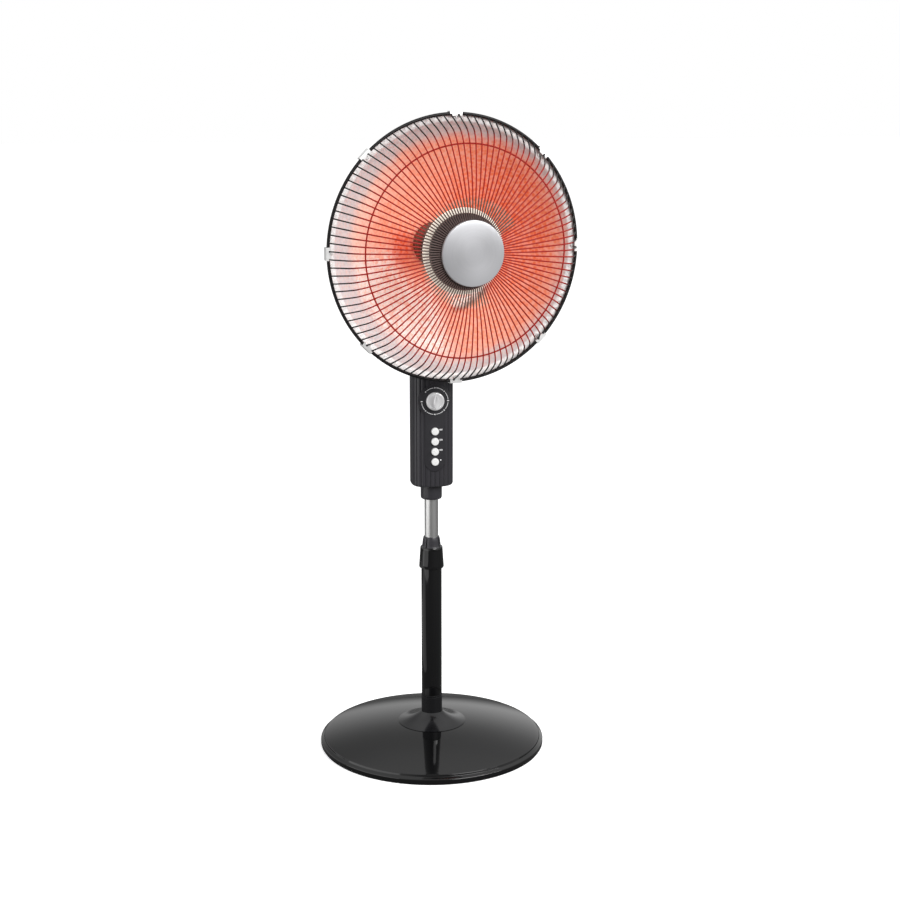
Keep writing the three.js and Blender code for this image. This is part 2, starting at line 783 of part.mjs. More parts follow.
function columnFront() {
  const through = [-columnHalfDepth - cutOverrun, -cavityFace(buttonFlangeRadius) + cutOverrun];
  const pocket = upright(panelShape(seatGap), -columnHalfDepth - cutOverrun, -pocketFloor);
  const neckHole = rodAlongY(timerNeckRadius + seatGap, ...through).translate(0, 0, columnBottom + knobRise);
  const body = join(columnShell(reededShape()), dialBoss(), shelf(lowerShelfRise, -1), columnBosses(-1));
  const opened = cut(body, pocket, neckHole, buttonHoles(buttonRadius + turnGap, ...through),
    columnScrews(seatGap));
  return piece('column_front', keep(opened, halfSpace(-1)), satinBlack);
}

function columnRear() {
  const glandHole = rodAlongY(glandBodyRadius + seatGap, cavityHalfDepth - cutOverrun,
    columnHalfDepth + cutOverrun).translate(0, 0, columnBottom + glandRise);
  const shelves = [middleShelfRise, motorShelfRise].map((rise) => shelf(rise, 1));
  const body = join(columnShell(smoothShape()), shelves, columnBosses(1));
  const opened = cut(body, glandHole, columnScrews(seatGap), screwWells());
  return piece('column_rear', keep(opened, halfSpace(1)), satinBlack);
}

function columnScrewParts() {
  return columnScrews(0).map((shape, i) => piece(`column_screw_${i + 1}`, shape, brightSteel));
}

function cordGland() {
  const flangeBack = columnHalfDepth + seatGap;
  const outline = [[glandBoreRadius, -glandInsideLength], [glandBodyRadius, -glandInsideLength],
    [glandBodyRadius, flangeBack - cavityHalfDepth], [glandFlangeRadius, flangeBack - cavityHalfDepth],
    [glandFlangeRadius, flangeBack - cavityHalfDepth + glandFlangeThickness],
    [glandBoreRadius, flangeBack - cavityHalfDepth + glandFlangeThickness]];
  const bush = turned(outline, smallSides).rotateX(-Math.PI / 2);
  return piece('cord_gland', bush.translate(0, cavityHalfDepth, columnBottom + glandRise), mattBlack);
}

function controlFascia() {
  const plate = upright(panelShape(0), -fasciaFront, -fasciaFront + fasciaThickness);
  const through = [-fasciaFront - cutOverrun, -fasciaFront + fasciaThickness + cutOverrun];
  const shaftHole = rodAlongY(timerShaftRadius + turnGap, ...through);
  return piece('control_fascia', cut(plate, shaftHole.translate(0, 0, columnBottom + knobRise),
    buttonHoles(buttonRadius + turnGap, ...through)), mattBlack);
}

// A disc with a lens-shaped finger grip across it, and the shaft it is pressed on
function timerKnob() {
  const back = fasciaFront + turnGap;
  const bevelled = turned([[0, 0], [knobRadius, 0], [knobRadius, knobDiscThickness - knobBevel],
    [knobRadius - knobBevel, knobDiscThickness], [0, knobDiscThickness]], mediumSides);
  const arcRadius = (knobGripHalfLength ** 2 + knobGripHalfWidth ** 2) / (2 * knobGripHalfWidth);
  const arcHalfAngle = Math.asin(knobGripHalfLength / arcRadius);
  const lens = new THREE.Shape();
  lens.absarc(knobGripHalfWidth - arcRadius, 0, arcRadius, -arcHalfAngle, arcHalfAngle);
  lens.absarc(arcRadius - knobGripHalfWidth, 0, arcRadius, Math.PI - arcHalfAngle, Math.PI + arcHalfAngle);
  const grip = extruded(lens, knobDiscThickness / 2 + knobGripHeight).translate(0, 0, knobDiscThickness / 2);
  const shaftEnd = timerBodyFront - timerShaftInBody - back;
  const shaft = rod(timerShaftRadius, shaftEnd, knobDiscThickness / 2);
  const knob = join(bevelled, grip, shaft).rotateX(Math.PI / 2);
  return piece('timer_knob', knob.translate(0, -back, columnBottom + knobRise), brushedSilver);
}

function timerBody() {
  const body = new THREE.BoxGeometry(timerBodySize, timerBodyDepth, timerBodySize)
    .translate(0, timerBodyDepth / 2 - timerBodyFront, 0);
  const neck = rodAlongY(timerNeckRadius, -pocketFloor, timerBodyDepth / 2 - timerBodyFront);
  const wellEnd = timerBodyFront - timerShaftInBody - seatGap;
  const well = rodAlongY(timerShaftRadius + turnGap, -pocketFloor - cutOverrun, -wellEnd);
  const solid = cut(join(body, neck), well).translate(0, 0, columnBottom + knobRise);
  return piece('timer_body', solid, paleCeramic);
}

function pushButton(i) {
  const tip = fasciaFront + buttonProud;
  const flangeBack = buttonFlangeFront - buttonFlangeThickness;
  const end = switchBlockFront - buttonStemInBlock;
  const outline = [[0, tip], [buttonRadius - buttonBevel, tip], [buttonRadius, tip - buttonBevel],
    [buttonRadius, buttonFlangeFront], [buttonFlangeRadius, buttonFlangeFront],
    [buttonFlangeRadius, flangeBack], [buttonStemRadius, flangeBack], [buttonStemRadius, end], [0, end]];
  const button = turned(outline, smallSides).rotateX(Math.PI / 2).translate(0, 0, buttonLevel(i));
  return piece(`push_button_${i + 1}`, button, whitePlastic);
}

function switchBlock() {
  const bottom = columnBottom + lowerShelfRise + shelfThickness + seatGap;
  const top = buttonLevel(0) + switchBlockMargin;
  const wellEnd = switchBlockFront - buttonStemInBlock - buttonTravel - seatGap;
  const body = block(switchBlockWidth, switchBlockDepth, bottom, top)
    .translate(0, -switchBlockFront + switchBlockDepth / 2, 0);
  const wells = buttonHoles(buttonStemRadius + turnGap, -switchBlockFront - cutOverrun, -wellEnd);
  return piece('push_switch_block', cut(body, wells), mattBlack);
}

function tipOverSwitch() {
  const bottom = columnBottom + middleShelfRise + shelfThickness + seatGap;
  const back = cavityFace(tipSwitchRadius) - seatGap;
  const can = rod(tipSwitchRadius, bottom, bottom + tipSwitchHeight, smallSides);
  return piece('tip_over_switch', can.translate(0, back - tipSwitchRadius, 0), whitePlastic);
}

// SWING DRIVE

const motorBottom = columnBottom + motorShelfRise + shelfThickness + seatGap;
const motorTop = motorBottom + motorHeight;
const crankBottom = motorTop + motorShaftHeight + seatGap;
const crankDiscTop = crankBottom + crankHubHeight + crankDiscThickness;
const armTop = crankDiscTop + crankPinHeight + crankPinCover;
const armBottom = armTop - swingArmThickness;
const bushBottom = columnTop - columnWall - seatGap - swivelBushFlangeThickness;

function swingMotor() {
  const can = rod(motorRadius, motorBottom, motorTop, mediumSides);
  const back = cavityHalfDepth - columnWall / 2;
  const shaft = rod(motorShaftRadius, motorTop - motorShaftHeight, motorTop + motorShaftHeight)
    .translate(0, crankOffset, 0);
  return piece('swing_motor', join(can.translate(0, back - motorRadius, 0), shaft), brightSteel);
}

// At rest the crank stands where its pin lies on the swing arm's centre line
function swingCrank() {
  const angle = restYaw + Math.asin(crankOffset * Math.sin(restYaw) / crankThrow);
  const hub = rod(crankHubRadius, crankBottom, crankDiscTop - crankDiscThickness / 2);
  const disc = rod(crankDiscRadius, crankDiscTop - crankDiscThickness, crankDiscTop, smallSides);
  const pin = rod(crankPinRadius, crankDiscTop - crankDiscThickness / 2, crankDiscTop + crankPinHeight);
  const crank = join(disc, hub, pin.translate(0, crankThrow, 0));
  return piece('swing_crank', crank.rotateZ(angle).translate(0, crankOffset, 0), whitePlastic);
}

function swivelBush() {
  const bore = swivelShaftRadius + turnGap;
  const radius = bore + swivelBushWall;
  const flangeTop = bushBottom + swivelBushFlangeThickness;
  const outline = [[bore, bushBottom], [swivelBushFlangeRadius, bushBottom],
    [swivelBushFlangeRadius, flangeTop], [radius, flangeTop], [radius, columnTop], [bore, columnTop]];
  return piece('swivel_bush', turned(outline, mediumSides), whitePlastic);
}

// A slotted arm on the foot of a hollow shaft: the crank's pin runs in the slot and swings the head
function swivelShaft() {
  const top = neckBottom + swivelShaftInNeck - seatGap;
  const half = swingArmWidth / 2;
  const slotHalf = crankSlotWidth / 2;
  const reach = crankOffset + crankThrow + slotHalf + swingArmTip;
  const stadium = (radius, near, far) => {
    const shape = new THREE.Shape();
    shape.absarc(0, near, radius, Math.PI, 2 * Math.PI);
    shape.absarc(0, far, radius, 0, Math.PI);
    return shape;
  };
  const arm = extruded(stadium(half, 0, reach - half), swingArmThickness + seatGap)
    .translate(0, 0, armBottom);
  const shoulder = rod(swivelShoulderRadius, armTop, bushBottom - seatGap, mediumSides);
  const shaft = rod(swivelShaftRadius, armTop, top, mediumSides);
  const slot = extruded(stadium(slotHalf, crankOffset - crankThrow, reach - swingArmTip - slotHalf),
    armTop - armBottom + cutOverrun).translate(0, 0, armBottom - cutOverrun);
  const bore = rod(swivelShaftBore, armTop + swingArmThickness, top + cutOverrun, screwSides);
  const solid = cut(join(arm, shoulder, shaft), slot, bore);
  return piece('swivel_shaft', solid, brightSteel);
}

// SWIVEL AND TILT, drawn straight ahead; the whole group is turned to its place at rest

const cheekInside = tongueThickness / 2 + seatGap;
const cheekOutside = cheekInside + neckCheekThickness;

function tiltNeck() {
  const top = neckBottom + neckHeight;
  const stem = turned([[0, neckBottom], [neckFootRadius, neckBottom],
    [neckFootRadius, neckBottom + neckFootHeight], [cheekOutside, neckBottom + 2 * neckFootHeight],
    [neckWaistRadius, neckBottom + neckHeight / 2], [cheekOutside, top], [0, top]], mediumSides);
  const cheek = join(
    block(neckCheekThickness, 2 * neckCheekRadius, top - neckFootHeight, pivotHeight),
    rodAlongX(neckCheekRadius, -neckCheekThickness / 2, neckCheekThickness / 2).translate(0, 0, pivotHeight),
  );
  const offset = (cheekInside + cheekOutside) / 2;
  const fork = join(stem, cheek.clone().translate(-offset, 0, 0), cheek.clone().translate(offset, 0, 0));
  const boltHole = rodAlongX(tiltBoltRadius + seatGap, -cheekOutside - cutOverrun, cheekOutside + cutOverrun)
    .translate(0, 0, pivotHeight);
  const shaftHole = rod(swivelShaftRadius + seatGap, neckBottom - cutOverrun, neckBottom + swivelShaftInNeck,
    mediumSides);
  return piece('tilt_neck', cut(fork, boltHole, shaftHole), satinBlack);
}

function tiltBolt() {
  const headFace = cheekOutside + seatGap;
  const end = headFace + tiltBoltHeadThickness;
  const head = rodAlongX(tiltBoltHeadRadius, headFace, end, hexSides);
  const lockedNut = rodAlongX(tiltBoltHeadRadius, -end, -headFace, hexSides);
  const shank = rodAlongX(tiltBoltRadius, -end - tiltBoltEnd, end - tiltBoltHeadThickness / 2);
  return piece('tilt_bolt', join(shank, head, lockedNut).translate(0, 0, pivotHeight), brightSteel);
}

// HEAD. Turned parts are drawn round +Z and stood on the head's own axis by their group.

function alongHeadAxis(geometry) {
  return geometry.rotateX(Math.PI / 2).translate(0, -headForward, headHeight);
}

// The tongue turns in the neck's fork and widens into a saddle, which is shaped to the cup and screwed to it
const saddleMiddle = headForward + (cupFront + cupBack) / 2;
const saddleBottom = headHeight - cupRadius - saddleSkin;

function saddleScrew(growth) {
  const tip = headHeight - Math.sqrt((cupRadius - cupWall) ** 2 - saddleScrewSide ** 2) + saddleScrewProud;
  const face = saddleBottom - seatGap;
  return screw(saddleScrewRadius, tip - face, saddleScrewHeadRadius, saddleScrewHeadHeight, growth)
    .translate(saddleScrewSide, -saddleMiddle, face);
}

function tiltBracket() {
  const tongue = rodAlongX(neckCheekRadius, -tongueThickness / 2, tongueThickness / 2)
    .translate(0, 0, pivotHeight);
  const web = block(tongueThickness, 2 * bracketWebShare * neckCheekRadius, pivotHeight,
    saddleBottom + saddleSkin);
  const saddle = block(2 * saddleHalfWidth, saddleDepth, saddleBottom, saddleBottom + saddleSkin + saddleWrap)
    .translate(0, -saddleMiddle, 0);
  const cup = alongHeadAxis(rod(cupRadius + seatGap, cupBack - cutOverrun, cupFront + cutOverrun, cupSides));
  const boltHole = rodAlongX(tiltBoltRadius + seatGap, -tongueThickness, tongueThickness)
    .translate(0, 0, pivotHeight);
  return piece('tilt_bracket', cut(join(tongue, web, saddle), cup, boltHole, saddleScrew(seatGap)),
    satinBlack);
}

function rearCup() {
  const bore = cupRadius - cupWall;
  const tubeShape = alongHeadAxis(tube(cupRadius, bore, cupBack, cupFront, cupSides));
  return piece('rear_cup', cut(tubeShape, saddleScrew(seatGap)), satinBlack);
}

function rearCover() {
  const crown = coverCrownShare * cupRadius;
  const shoulder = coverFront - coverShoulderShare * coverLength;
  const hole = tieRodRadius + seatGap;
  const outline = [[hole, coverBack], [crown, coverBack],
    [(crown + cupRadius) / 2, (shoulder + 2 * coverBack) / 3], [cupRadius, shoulder], [cupRadius, coverFront],
    [cupRadius - cupWall, coverFront], [cupRadius - cupWall, shoulder],
    [crown - cupWall / 2, coverBack + cupWall], [hole, coverBack + cupWall]];
  const vents = [];
  for (let i = 0; i < ventCount; i += 1) {
    const slot = block(ventLength, ventWidth, coverBack - cutOverrun, coverBack + cupWall + cutOverrun);
    vents.push(slot.translate(ventInnerRadius + ventLength / 2, 0, 0).rotateZ(i * 2 * Math.PI / ventCount));
  }
  return piece('rear_cover', cut(turned(outline, cupSides), vents), satinBlack);
}

function mountPlate() {
  const radius = cupRadius - cupWall - seatGap;
  const hole = tieRodRadius + seatGap;
  return piece('mount_plate', tube(radius, hole, mountPlateBack, mountPlateFront, cupSides), brightSteel);
}

function clipScrewRadiusOnBowl() {
  return bowlFlangeRadius - clipScrewInset;
}

function roundTheRim(make) {
  const copies = [];
  for (let i = 0; i < clipCount; i += 1) copies.push(make().rotateZ(i * 2 * Math.PI / clipCount));
  return copies;
}

function reflectorBowl() {
  const stations = bowlStationShares.map((share) => bowlFlatRadius + share * (bowlRadius - bowlFlatRadius));
  const front = [bowlHoleRadius, ...stations];
  const lipBack = flangeFront - sheetThickness - bowlLipDepth;
  const outline = [...front.map((radius) => [radius, bowlFace(radius)]),
    [bowlFlangeRadius, flangeFront], [bowlFlangeRadius, lipBack],
    [bowlFlangeRadius - sheetThickness, lipBack],
    [bowlFlangeRadius - sheetThickness, flangeFront - sheetThickness],
    ...[...front].reverse().map((radius) => [radius, bowlBack(radius)])];
  const holes = roundTheRim(() => rod(clipScrewRadius + seatGap, flangeFront - sheetThickness - cutOverrun,
    flangeFront + cutOverrun, screwSides).translate(clipScrewRadiusOnBowl(), 0, 0));
  return piece('reflector_bowl', cut(turned(outline, largeSides), holes), hammeredAluminium);
}

function elementBase() {
  const bottom = bowlFloor + seatGap;
  const spigot = bowlHoleRadius - seatGap;
  const bore = tieRodRadius + seatGap;
  const spigotBack = bowlFloor - sheetThickness;
  const outline = [[bore, spigotBack], [spigot, spigotBack], [spigot, bottom], [elementBaseRadius, bottom],
    [elementBaseRadius, elementBaseFront], [bore, elementBaseFront]];
  return piece('element_base', turned(outline, mediumSides), paleCeramic);
}

function ceramicCore() {
  const bore = tieRodRadius + seatGap;
  return piece('ceramic_core', tube(coreRadius, bore, elementBaseFront + seatGap, coreFront), darkCeramic);
}

// Centre line of the coil: turns of a helix, with a quarter bend and a straight lead at each end
function coilPath() {
  const radius = coreRadius + seatGap + coilWireRadius;
  const lead = 2 * coilWireRadius;
  const height = coilTurns * coilPitch;
  const start = (elementBaseFront + coreFront - height) / 2;
  const stations = [];
  const place = (angle, along, forward, slope) => {
    const out = new THREE.Vector3(Math.cos(angle), Math.sin(angle), 0);
    const side = new THREE.Vector3(-out.y, out.x, 0);
    const point = out.clone().multiplyScalar(radius).addScaledVector(side, along);
    point.z = forward;
    const tangent = side.multiplyScalar(Math.cos(slope));
    tangent.z = Math.sin(slope);
    stations.push({ point, out, tangent });
  };
  const right = Math.PI / 2;
  place(0, -coilBendRadius, elementBaseFront + seatGap, right);
  place(0, -coilBendRadius, elementBaseFront + seatGap + lead, right);
  for (let i = 0; i < coilBendSteps; i += 1) {
    const turn = i * right / coilBendSteps;
    place(0, -coilBendRadius * Math.cos(turn), start - coilBendRadius * (1 - Math.sin(turn)), right - turn);
  }
  const pitchAngle = Math.atan(coilPitch / (2 * Math.PI * radius));
  for (let i = 0; i <= coilTurns * coilTurnSteps; i += 1) {
    const turns = i / coilTurnSteps;
    place(2 * Math.PI * turns, 0, start + coilPitch * turns, pitchAngle);
  }
  const last = 2 * Math.PI * coilTurns;
  for (let i = 1; i <= coilBendSteps; i += 1) {
    const turn = i * right / coilBendSteps;
    const rise = coilBendRadius * (1 - Math.cos(turn));
    place(last, coilBendRadius * Math.sin(turn), start + height + rise, turn);
  }
  place(last, coilBendRadius, coreFront - lead, right);
  place(last, coilBendRadius, coreFront, right);
  return stations;
}

// Least distance between two stretches of the coil that aren't neighbours along it, less its thickness
function coilSelfGap(stations) {
  const apart = Math.round(coilTurnSteps / 2);
  let least = Infinity;
  for (let i = 0; i < stations.length; i += 1) {
    for (let j = i + apart; j < stations.length; j += 1) {
      least = Math.min(least, stations[i].point.distanceTo(stations[j].point));
    }
  }
  return least - 2 * coilWireRadius;
}

function heatingCoil() {
  const stations = coilPath();
  console.log(`heating_coil: least gap to itself ${coilSelfGap(stations).toFixed(2)} mm`);
  const rings = stations.map(({ point, out, tangent }) => {
    const across = tangent.clone().cross(out);
    const ring = [];
    for (let i = 0; i < coilSides; i += 1) {
      const angle = i * 2 * Math.PI / coilSides;
      ring.push(point.clone().addScaledVector(out, coilWireRadius * Math.cos(angle))
        .addScaledVector(across, coilWireRadius * Math.sin(angle)));
    }
    return ring;
  });
  const triangles = [];
  for (let k = 0; k + 1 < rings.length; k += 1) {
    for (let i = 0; i < coilSides; i += 1) {
      const next = (i + 1) % coilSides;
      triangles.push(rings[k][i], rings[k][next], rings[k + 1][next]);
      triangles.push(rings[k][i], rings[k + 1][next], rings[k + 1][i]);
    }
  }
  const last = rings.length - 1;
  for (let i = 1; i + 1 < coilSides; i += 1) {
    triangles.push(rings[0][0], rings[0][i + 1], rings[0][i]);
    triangles.push(rings[last][0], rings[last][i], rings[last][i + 1]);
  }
  const tubeShape = new THREE.BufferGeometry().setFromPoints(triangles);
  return piece('heating_coil', tubeShape, heatingWire);
}

// A shallow cone with a flat foot that sends the heat back into the bowl
function heatDeflector() {
  const bore = tieRodRadius + seatGap;
  const back = coreFront + seatGap;
  const foot = coreRadius + 2 * coilWireRadius + coilBendRadius;
  const outline = [[bore, back], [foot, back], [deflectorRadius, back + deflectorConeRise],
    [deflectorRadius, back + deflectorConeRise + deflectorThickness], [foot, deflectorFront],
    [bore, deflectorFront]];
  return piece('heat_deflector', turned(outline, mediumSides), paleCeramic);
}

// A round-shouldered pan, open to the back, on a boss that stands on the deflector
function elementShield() {
  const bore = tieRodRadius + seatGap;
  const inner = shieldHeight - shieldWall;
  const outside = shieldRoundingShares.map(([r, h]) => [r * shieldRadius, shieldBack + h * shieldHeight]);
  const inside = shieldRoundingShares.map(([r, h]) => [
    r * (shieldRadius - shieldWall), shieldBack + h * inner]);
  const bossBack = deflectorFront + seatGap;
  const outline = [...outside, [bore, shieldFront], [bore, bossBack], [shieldBossRadius, bossBack],
    [shieldBossRadius, shieldFront - shieldWall], ...inside.reverse()];
  return piece('element_shield', turned(outline, mediumSides), blackSteel);
}

function tieRodParts() {
  const headBack = shieldFront + seatGap;
  const nutFronts = [mountPlateBack - seatGap, coverBack - seatGap];
  const head = rod(tieNutRadius, headBack, headBack + tieNutThickness, hexSides);
  const shaft = rod(tieRodRadius, nutFronts[1] - tieNutThickness - seatGap, headBack + tieNutThickness / 2,
    screwSides);
  const nuts = nutFronts.map((front, i) => piece(`tie_rod_nut_${i + 1}`,
    tube(tieNutRadius, tieRodRadius + seatGap, front - tieNutThickness, front, hexSides),
    brightSteel));
  return [piece('tie_rod', join(head, shaft), brightSteel), ...nuts];
}

// FRONT GUARD. One welded grille: wires that leave the thick rim and end on the hub plate, and a ring that
// lies behind them. Outlines are [radius, forward] corners, counterclockwise. A wire takes the place of the
// face between two corners, so the rim, the plate and the wires share their corners.

// The rim's first face looks forward and inward, where its wires leave it
function rimCorners() {
  const corners = [];
  for (let i = 0; i < rimSides; i += 1) {
    const angle = rimFaceAngle + (i - 0.5) * 2 * Math.PI / rimSides;
    corners.push([rimCentreRadius + rimWireRadius * Math.cos(angle), rimWireRadius * Math.sin(angle)]);
  }
  return corners;
}

// The middle line of a wire, from the rim over its two knees to the hub plate
function wireLine() {
  const between = ([radiusShare, forwardShare], [r0, f0], [r1, f1]) => [
    r0 + radiusShare * (r1 - r0), f0 + forwardShare * (f1 - f0)];
  const rimEnd = [rimCentreRadius, 0];
  const crossing = [midRingRadius, midRingForward];
  const hubEnd = [hubPlateRadius, hubPlateForward];
  return [rimEnd, between(rimKneeShares, rimEnd, crossing), crossing,
    between(domeKneeShares, crossing, hubEnd), hubEnd];
}

// Direction of that line at one of its inner points, the direction from there to the back of the wire, and
// the angle by which the line departs from its direction on either side
function wireDirections(line, i) {
  const [before, at, after] = line.slice(i - 1, i + 2).map(([r, f]) => new THREE.Vector2(r, f));
  const along = after.clone().sub(before).normalize();
  const bend = after.clone().sub(at).angleTo(at.clone().sub(before));
  return { along, away: new THREE.Vector2(-along.y, along.x), bend };
}

function wireSection(line, i) {
  const { away } = wireDirections(line, i);
  const half = wireThickness / 2;
  const [radius, forward] = line[i];
  return [-half, half].map((offset) => [radius + offset * away.x, forward + offset * away.y]);
}

function frontGuard() {
  const triangles = [];
  const half = wireThickness / 2;
  const corner = ([radius, forward], side, wire) => {
    const angle = (wire + wirePhase) * 2 * Math.PI / wireCount;
    return new THREE.Vector3(radius * Math.cos(angle) - side * half * Math.sin(angle),
      radius * Math.sin(angle) + side * half * Math.cos(angle), forward);
  };
  const quad = (a, b, c, d) => triangles.push(a, b, c, a, c, d);

  const rim = rimCorners();
  const line = wireLine();
  const hubFront = [hubPlateRadius, hubPlateFront];
  const hubBack = [hubPlateRadius, hubPlateBack];
  const run = [[rim[0], rim[1]], wireSection(line, 1), wireSection(line, 2), wireSection(line, 3),
    [hubFront, hubBack]];
  const front = new THREE.Vector3(0, 0, hubPlateFront);
  const back = new THREE.Vector3(0, 0, hubPlateBack);

  for (let wire = 0; wire < wireCount; wire += 1) {
    // The rim's first face opens for each wire, and its other faces run past
    rim.forEach((p, i) => {
      const next = (i + 1) % rim.length;
      const [near, far] = [i, next].map((n) => (n < 2 ? 1 : 0));
      const q = rim[next];
      quad(corner(p, near, wire), corner(p, -near, wire + 1), corner(q, -far, wire + 1),
        corner(q, far, wire));
      if (i === 0) return;
      quad(corner(p, -near, wire), corner(p, near, wire), corner(q, far, wire), corner(q, -far, wire));
    });
    quad(corner(hubBack, 1, wire), corner(hubBack, -1, wire + 1), corner(hubFront, -1, wire + 1),
      corner(hubFront, 1, wire));
    triangles.push(front, corner(hubFront, -1, wire), corner(hubFront, 1, wire));
    triangles.push(front, corner(hubFront, 1, wire), corner(hubFront, -1, wire + 1));
    triangles.push(back, corner(hubBack, 1, wire), corner(hubBack, -1, wire));
    triangles.push(back, corner(hubBack, -1, wire + 1), corner(hubBack, 1, wire));
    const loops = run.map(([near, far]) => [corner(near, -1, wire), corner(near, 1, wire),
      corner(far, 1, wire), corner(far, -1, wire)]);
    for (let k = 0; k + 1 < loops.length; k += 1) {
      for (let i = 0; i < loops[k].length; i += 1) {
        const next = (i + 1) % loops[k].length;
        quad(loops[k][i], loops[k][next], loops[k + 1][next], loops[k + 1][i]);
      }
    }
  }
  return piece('front_guard', new THREE.BufferGeometry().setFromPoints(triangles), blackSteel);
}

// A square ring that lies flat against the backs of the wires, where they bend over into the dome
function guardMiddleRing() {
  const { along, away, bend } = wireDirections(wireLine(), 2);
  const half = midRingWidth / 2;
  const middle = new THREE.Vector2(midRingRadius, midRingForward)
    .addScaledVector(away, wireThickness / 2 + half * Math.tan(bend / 2) + seatGap + half);
  const outline = [[-half, -half], [half, -half], [half, half], [-half, half]].map(([a, b]) => {
    const point = middle.clone().addScaledVector(along, a).addScaledVector(away, b);
    return [point.x, point.y];
  });
  return piece('guard_middle_ring', turned(outline, largeSides), blackSteel);
}

function hubCap() {
  const back = hubPlateFront + seatGap;
  const front = back + capThickness;
  const edge = capBevelShare * capThickness;
  const outline = [[0, back], [capRadius, back], [capRadius, front - 2 * edge],
    [capCrownShare * capRadius, front - edge / 2], [0, front]];
  return piece('hub_cap', turned(outline, cupSides), brushedSilver);
}

// A spring-steel channel with its screw: it hooks over the outer half of the rim and grips the bowl's flange
function clipShape() {
  const inside = Math.max(rimCentreRadius + rimWireRadius, bowlFlangeRadius) + turnGap;
  const outside = inside + clipSheet;
  const hookBack = rimWireRadius + turnGap;
  const footFront = flangeFront - sheetThickness - bowlLipDepth - seatGap;
  const outline = [[outside, footFront - clipSheet], [outside, hookBack + clipSheet],
    [outside - clipHookLength - clipSheet, hookBack + clipSheet],
    [outside - clipHookLength - clipSheet, hookBack], [inside, hookBack], [inside, footFront],
    [outside - clipFootLength, footFront], [outside - clipFootLength, footFront - clipSheet]];
  const shape = new THREE.Shape(outline.map(([radius, forward]) => new THREE.Vector2(radius, forward)));
  const strip = extruded(shape, clipWidth).rotateX(Math.PI / 2).translate(0, clipWidth / 2, 0);
  const face = footFront - clipSheet;
  const screwShape = screw(clipScrewRadius, flangeFront + clipScrewProud - face, clipScrewHeadRadius,
    clipScrewHeadHeight + clipSheet / 2).translate(clipScrewRadiusOnBowl(), 0, face + clipSheet / 2);
  return join(strip, screwShape);
}

function rimClips() {
  return roundTheRim(clipShape).map((clip, i) => piece(`rim_clip_${i + 1}`, clip, brightSteel));
}

// ASSEMBLY

const stand = new THREE.Group();
stand.add(floorPad(), basePlate(), baseShell(), baseWeight(), poleBolt(), poleSocket(), baseSkirt(),
  outerPole(), poleCollet(), heightLockNut());

const column = new THREE.Group();
column.add(innerPole(), innerPoleGuide(), columnCollar(),
  piece('collar_screw', collarScrewTool(0), brightSteel), columnFront(), columnRear(), ...columnScrewParts(),
  cordGland(), controlFascia(), timerKnob(), timerBody(), switchBlock(), tipOverSwitch(), swingMotor(),
  swingCrank(), swivelBush());
for (let i = 0; i < buttonCount; i += 1) column.add(pushButton(i));

const bowl = new THREE.Group();
bowl.rotation.x = Math.PI / 2;
bowl.position.set(0, -headForward, headHeight);
bowl.add(rearCover(), mountPlate(), reflectorBowl(), elementBase(), ceramicCore(), heatingCoil(),
  heatDeflector(), elementShield(), ...tieRodParts(), frontGuard(), guardMiddleRing(), hubCap(),
  ...rimClips());

const head = new THREE.Group();
head.rotation.z = restYaw;
head.add(swivelShaft(), tiltNeck(), tiltBolt(), tiltBracket(), rearCup(), bowl,
  piece('saddle_screw', saddleScrew(0), brightSteel));

const heater = new THREE.Group();
heater.add(stand, column, head);

export default heater;
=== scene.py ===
"""Looks of the stand heater: smooth pieces and finishes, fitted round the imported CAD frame.

Sizes are in millimetres, in the frame of the CAD model: +Z up, and the heater faces -Y. The
pieces of the head are drawn round the head's own axis, where +Z points forward, out of the
bowl. Finishes are measured in metres.
"""

from __future__ import annotations

import json
import logging
import math
from abc import ABC, abstractmethod
from dataclasses import dataclass
from enum import Enum
from typing import Any, Callable, Iterable, Sequence

import bmesh
import bpy
from mathutils import Matrix, Vector, noise

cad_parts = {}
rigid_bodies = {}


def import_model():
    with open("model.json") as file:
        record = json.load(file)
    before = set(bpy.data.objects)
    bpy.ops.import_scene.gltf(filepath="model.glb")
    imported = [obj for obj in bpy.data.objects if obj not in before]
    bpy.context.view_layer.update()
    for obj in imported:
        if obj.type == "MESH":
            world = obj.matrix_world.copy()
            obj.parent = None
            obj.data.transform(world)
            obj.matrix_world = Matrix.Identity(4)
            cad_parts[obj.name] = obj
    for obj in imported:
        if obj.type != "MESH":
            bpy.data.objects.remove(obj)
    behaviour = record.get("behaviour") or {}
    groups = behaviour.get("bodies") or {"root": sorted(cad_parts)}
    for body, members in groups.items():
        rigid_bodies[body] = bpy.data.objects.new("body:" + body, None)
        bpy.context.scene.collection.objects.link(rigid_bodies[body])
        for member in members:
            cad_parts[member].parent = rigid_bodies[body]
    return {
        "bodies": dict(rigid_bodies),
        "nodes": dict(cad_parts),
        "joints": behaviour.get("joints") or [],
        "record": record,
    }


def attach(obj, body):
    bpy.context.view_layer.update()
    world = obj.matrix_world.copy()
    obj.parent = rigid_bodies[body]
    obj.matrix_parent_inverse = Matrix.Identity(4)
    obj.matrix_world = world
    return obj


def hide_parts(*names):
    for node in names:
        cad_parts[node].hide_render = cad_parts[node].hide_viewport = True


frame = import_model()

LOG = logging.getLogger("heater")

Point2 = tuple[float, float]
Colour = tuple[float, float, float, float]
Socket = bpy.types.NodeSocket
Sockets = bpy.types.NodeOutputs
Tree = bpy.types.NodeTree

TURN = 2 * math.pi
RIGHT_ANGLE = math.pi / 2
MILLIMETRE = 0.001
TINY = 1e-6
UNLIT: Colour = (0.0, 0.0, 0.0, 1.0)


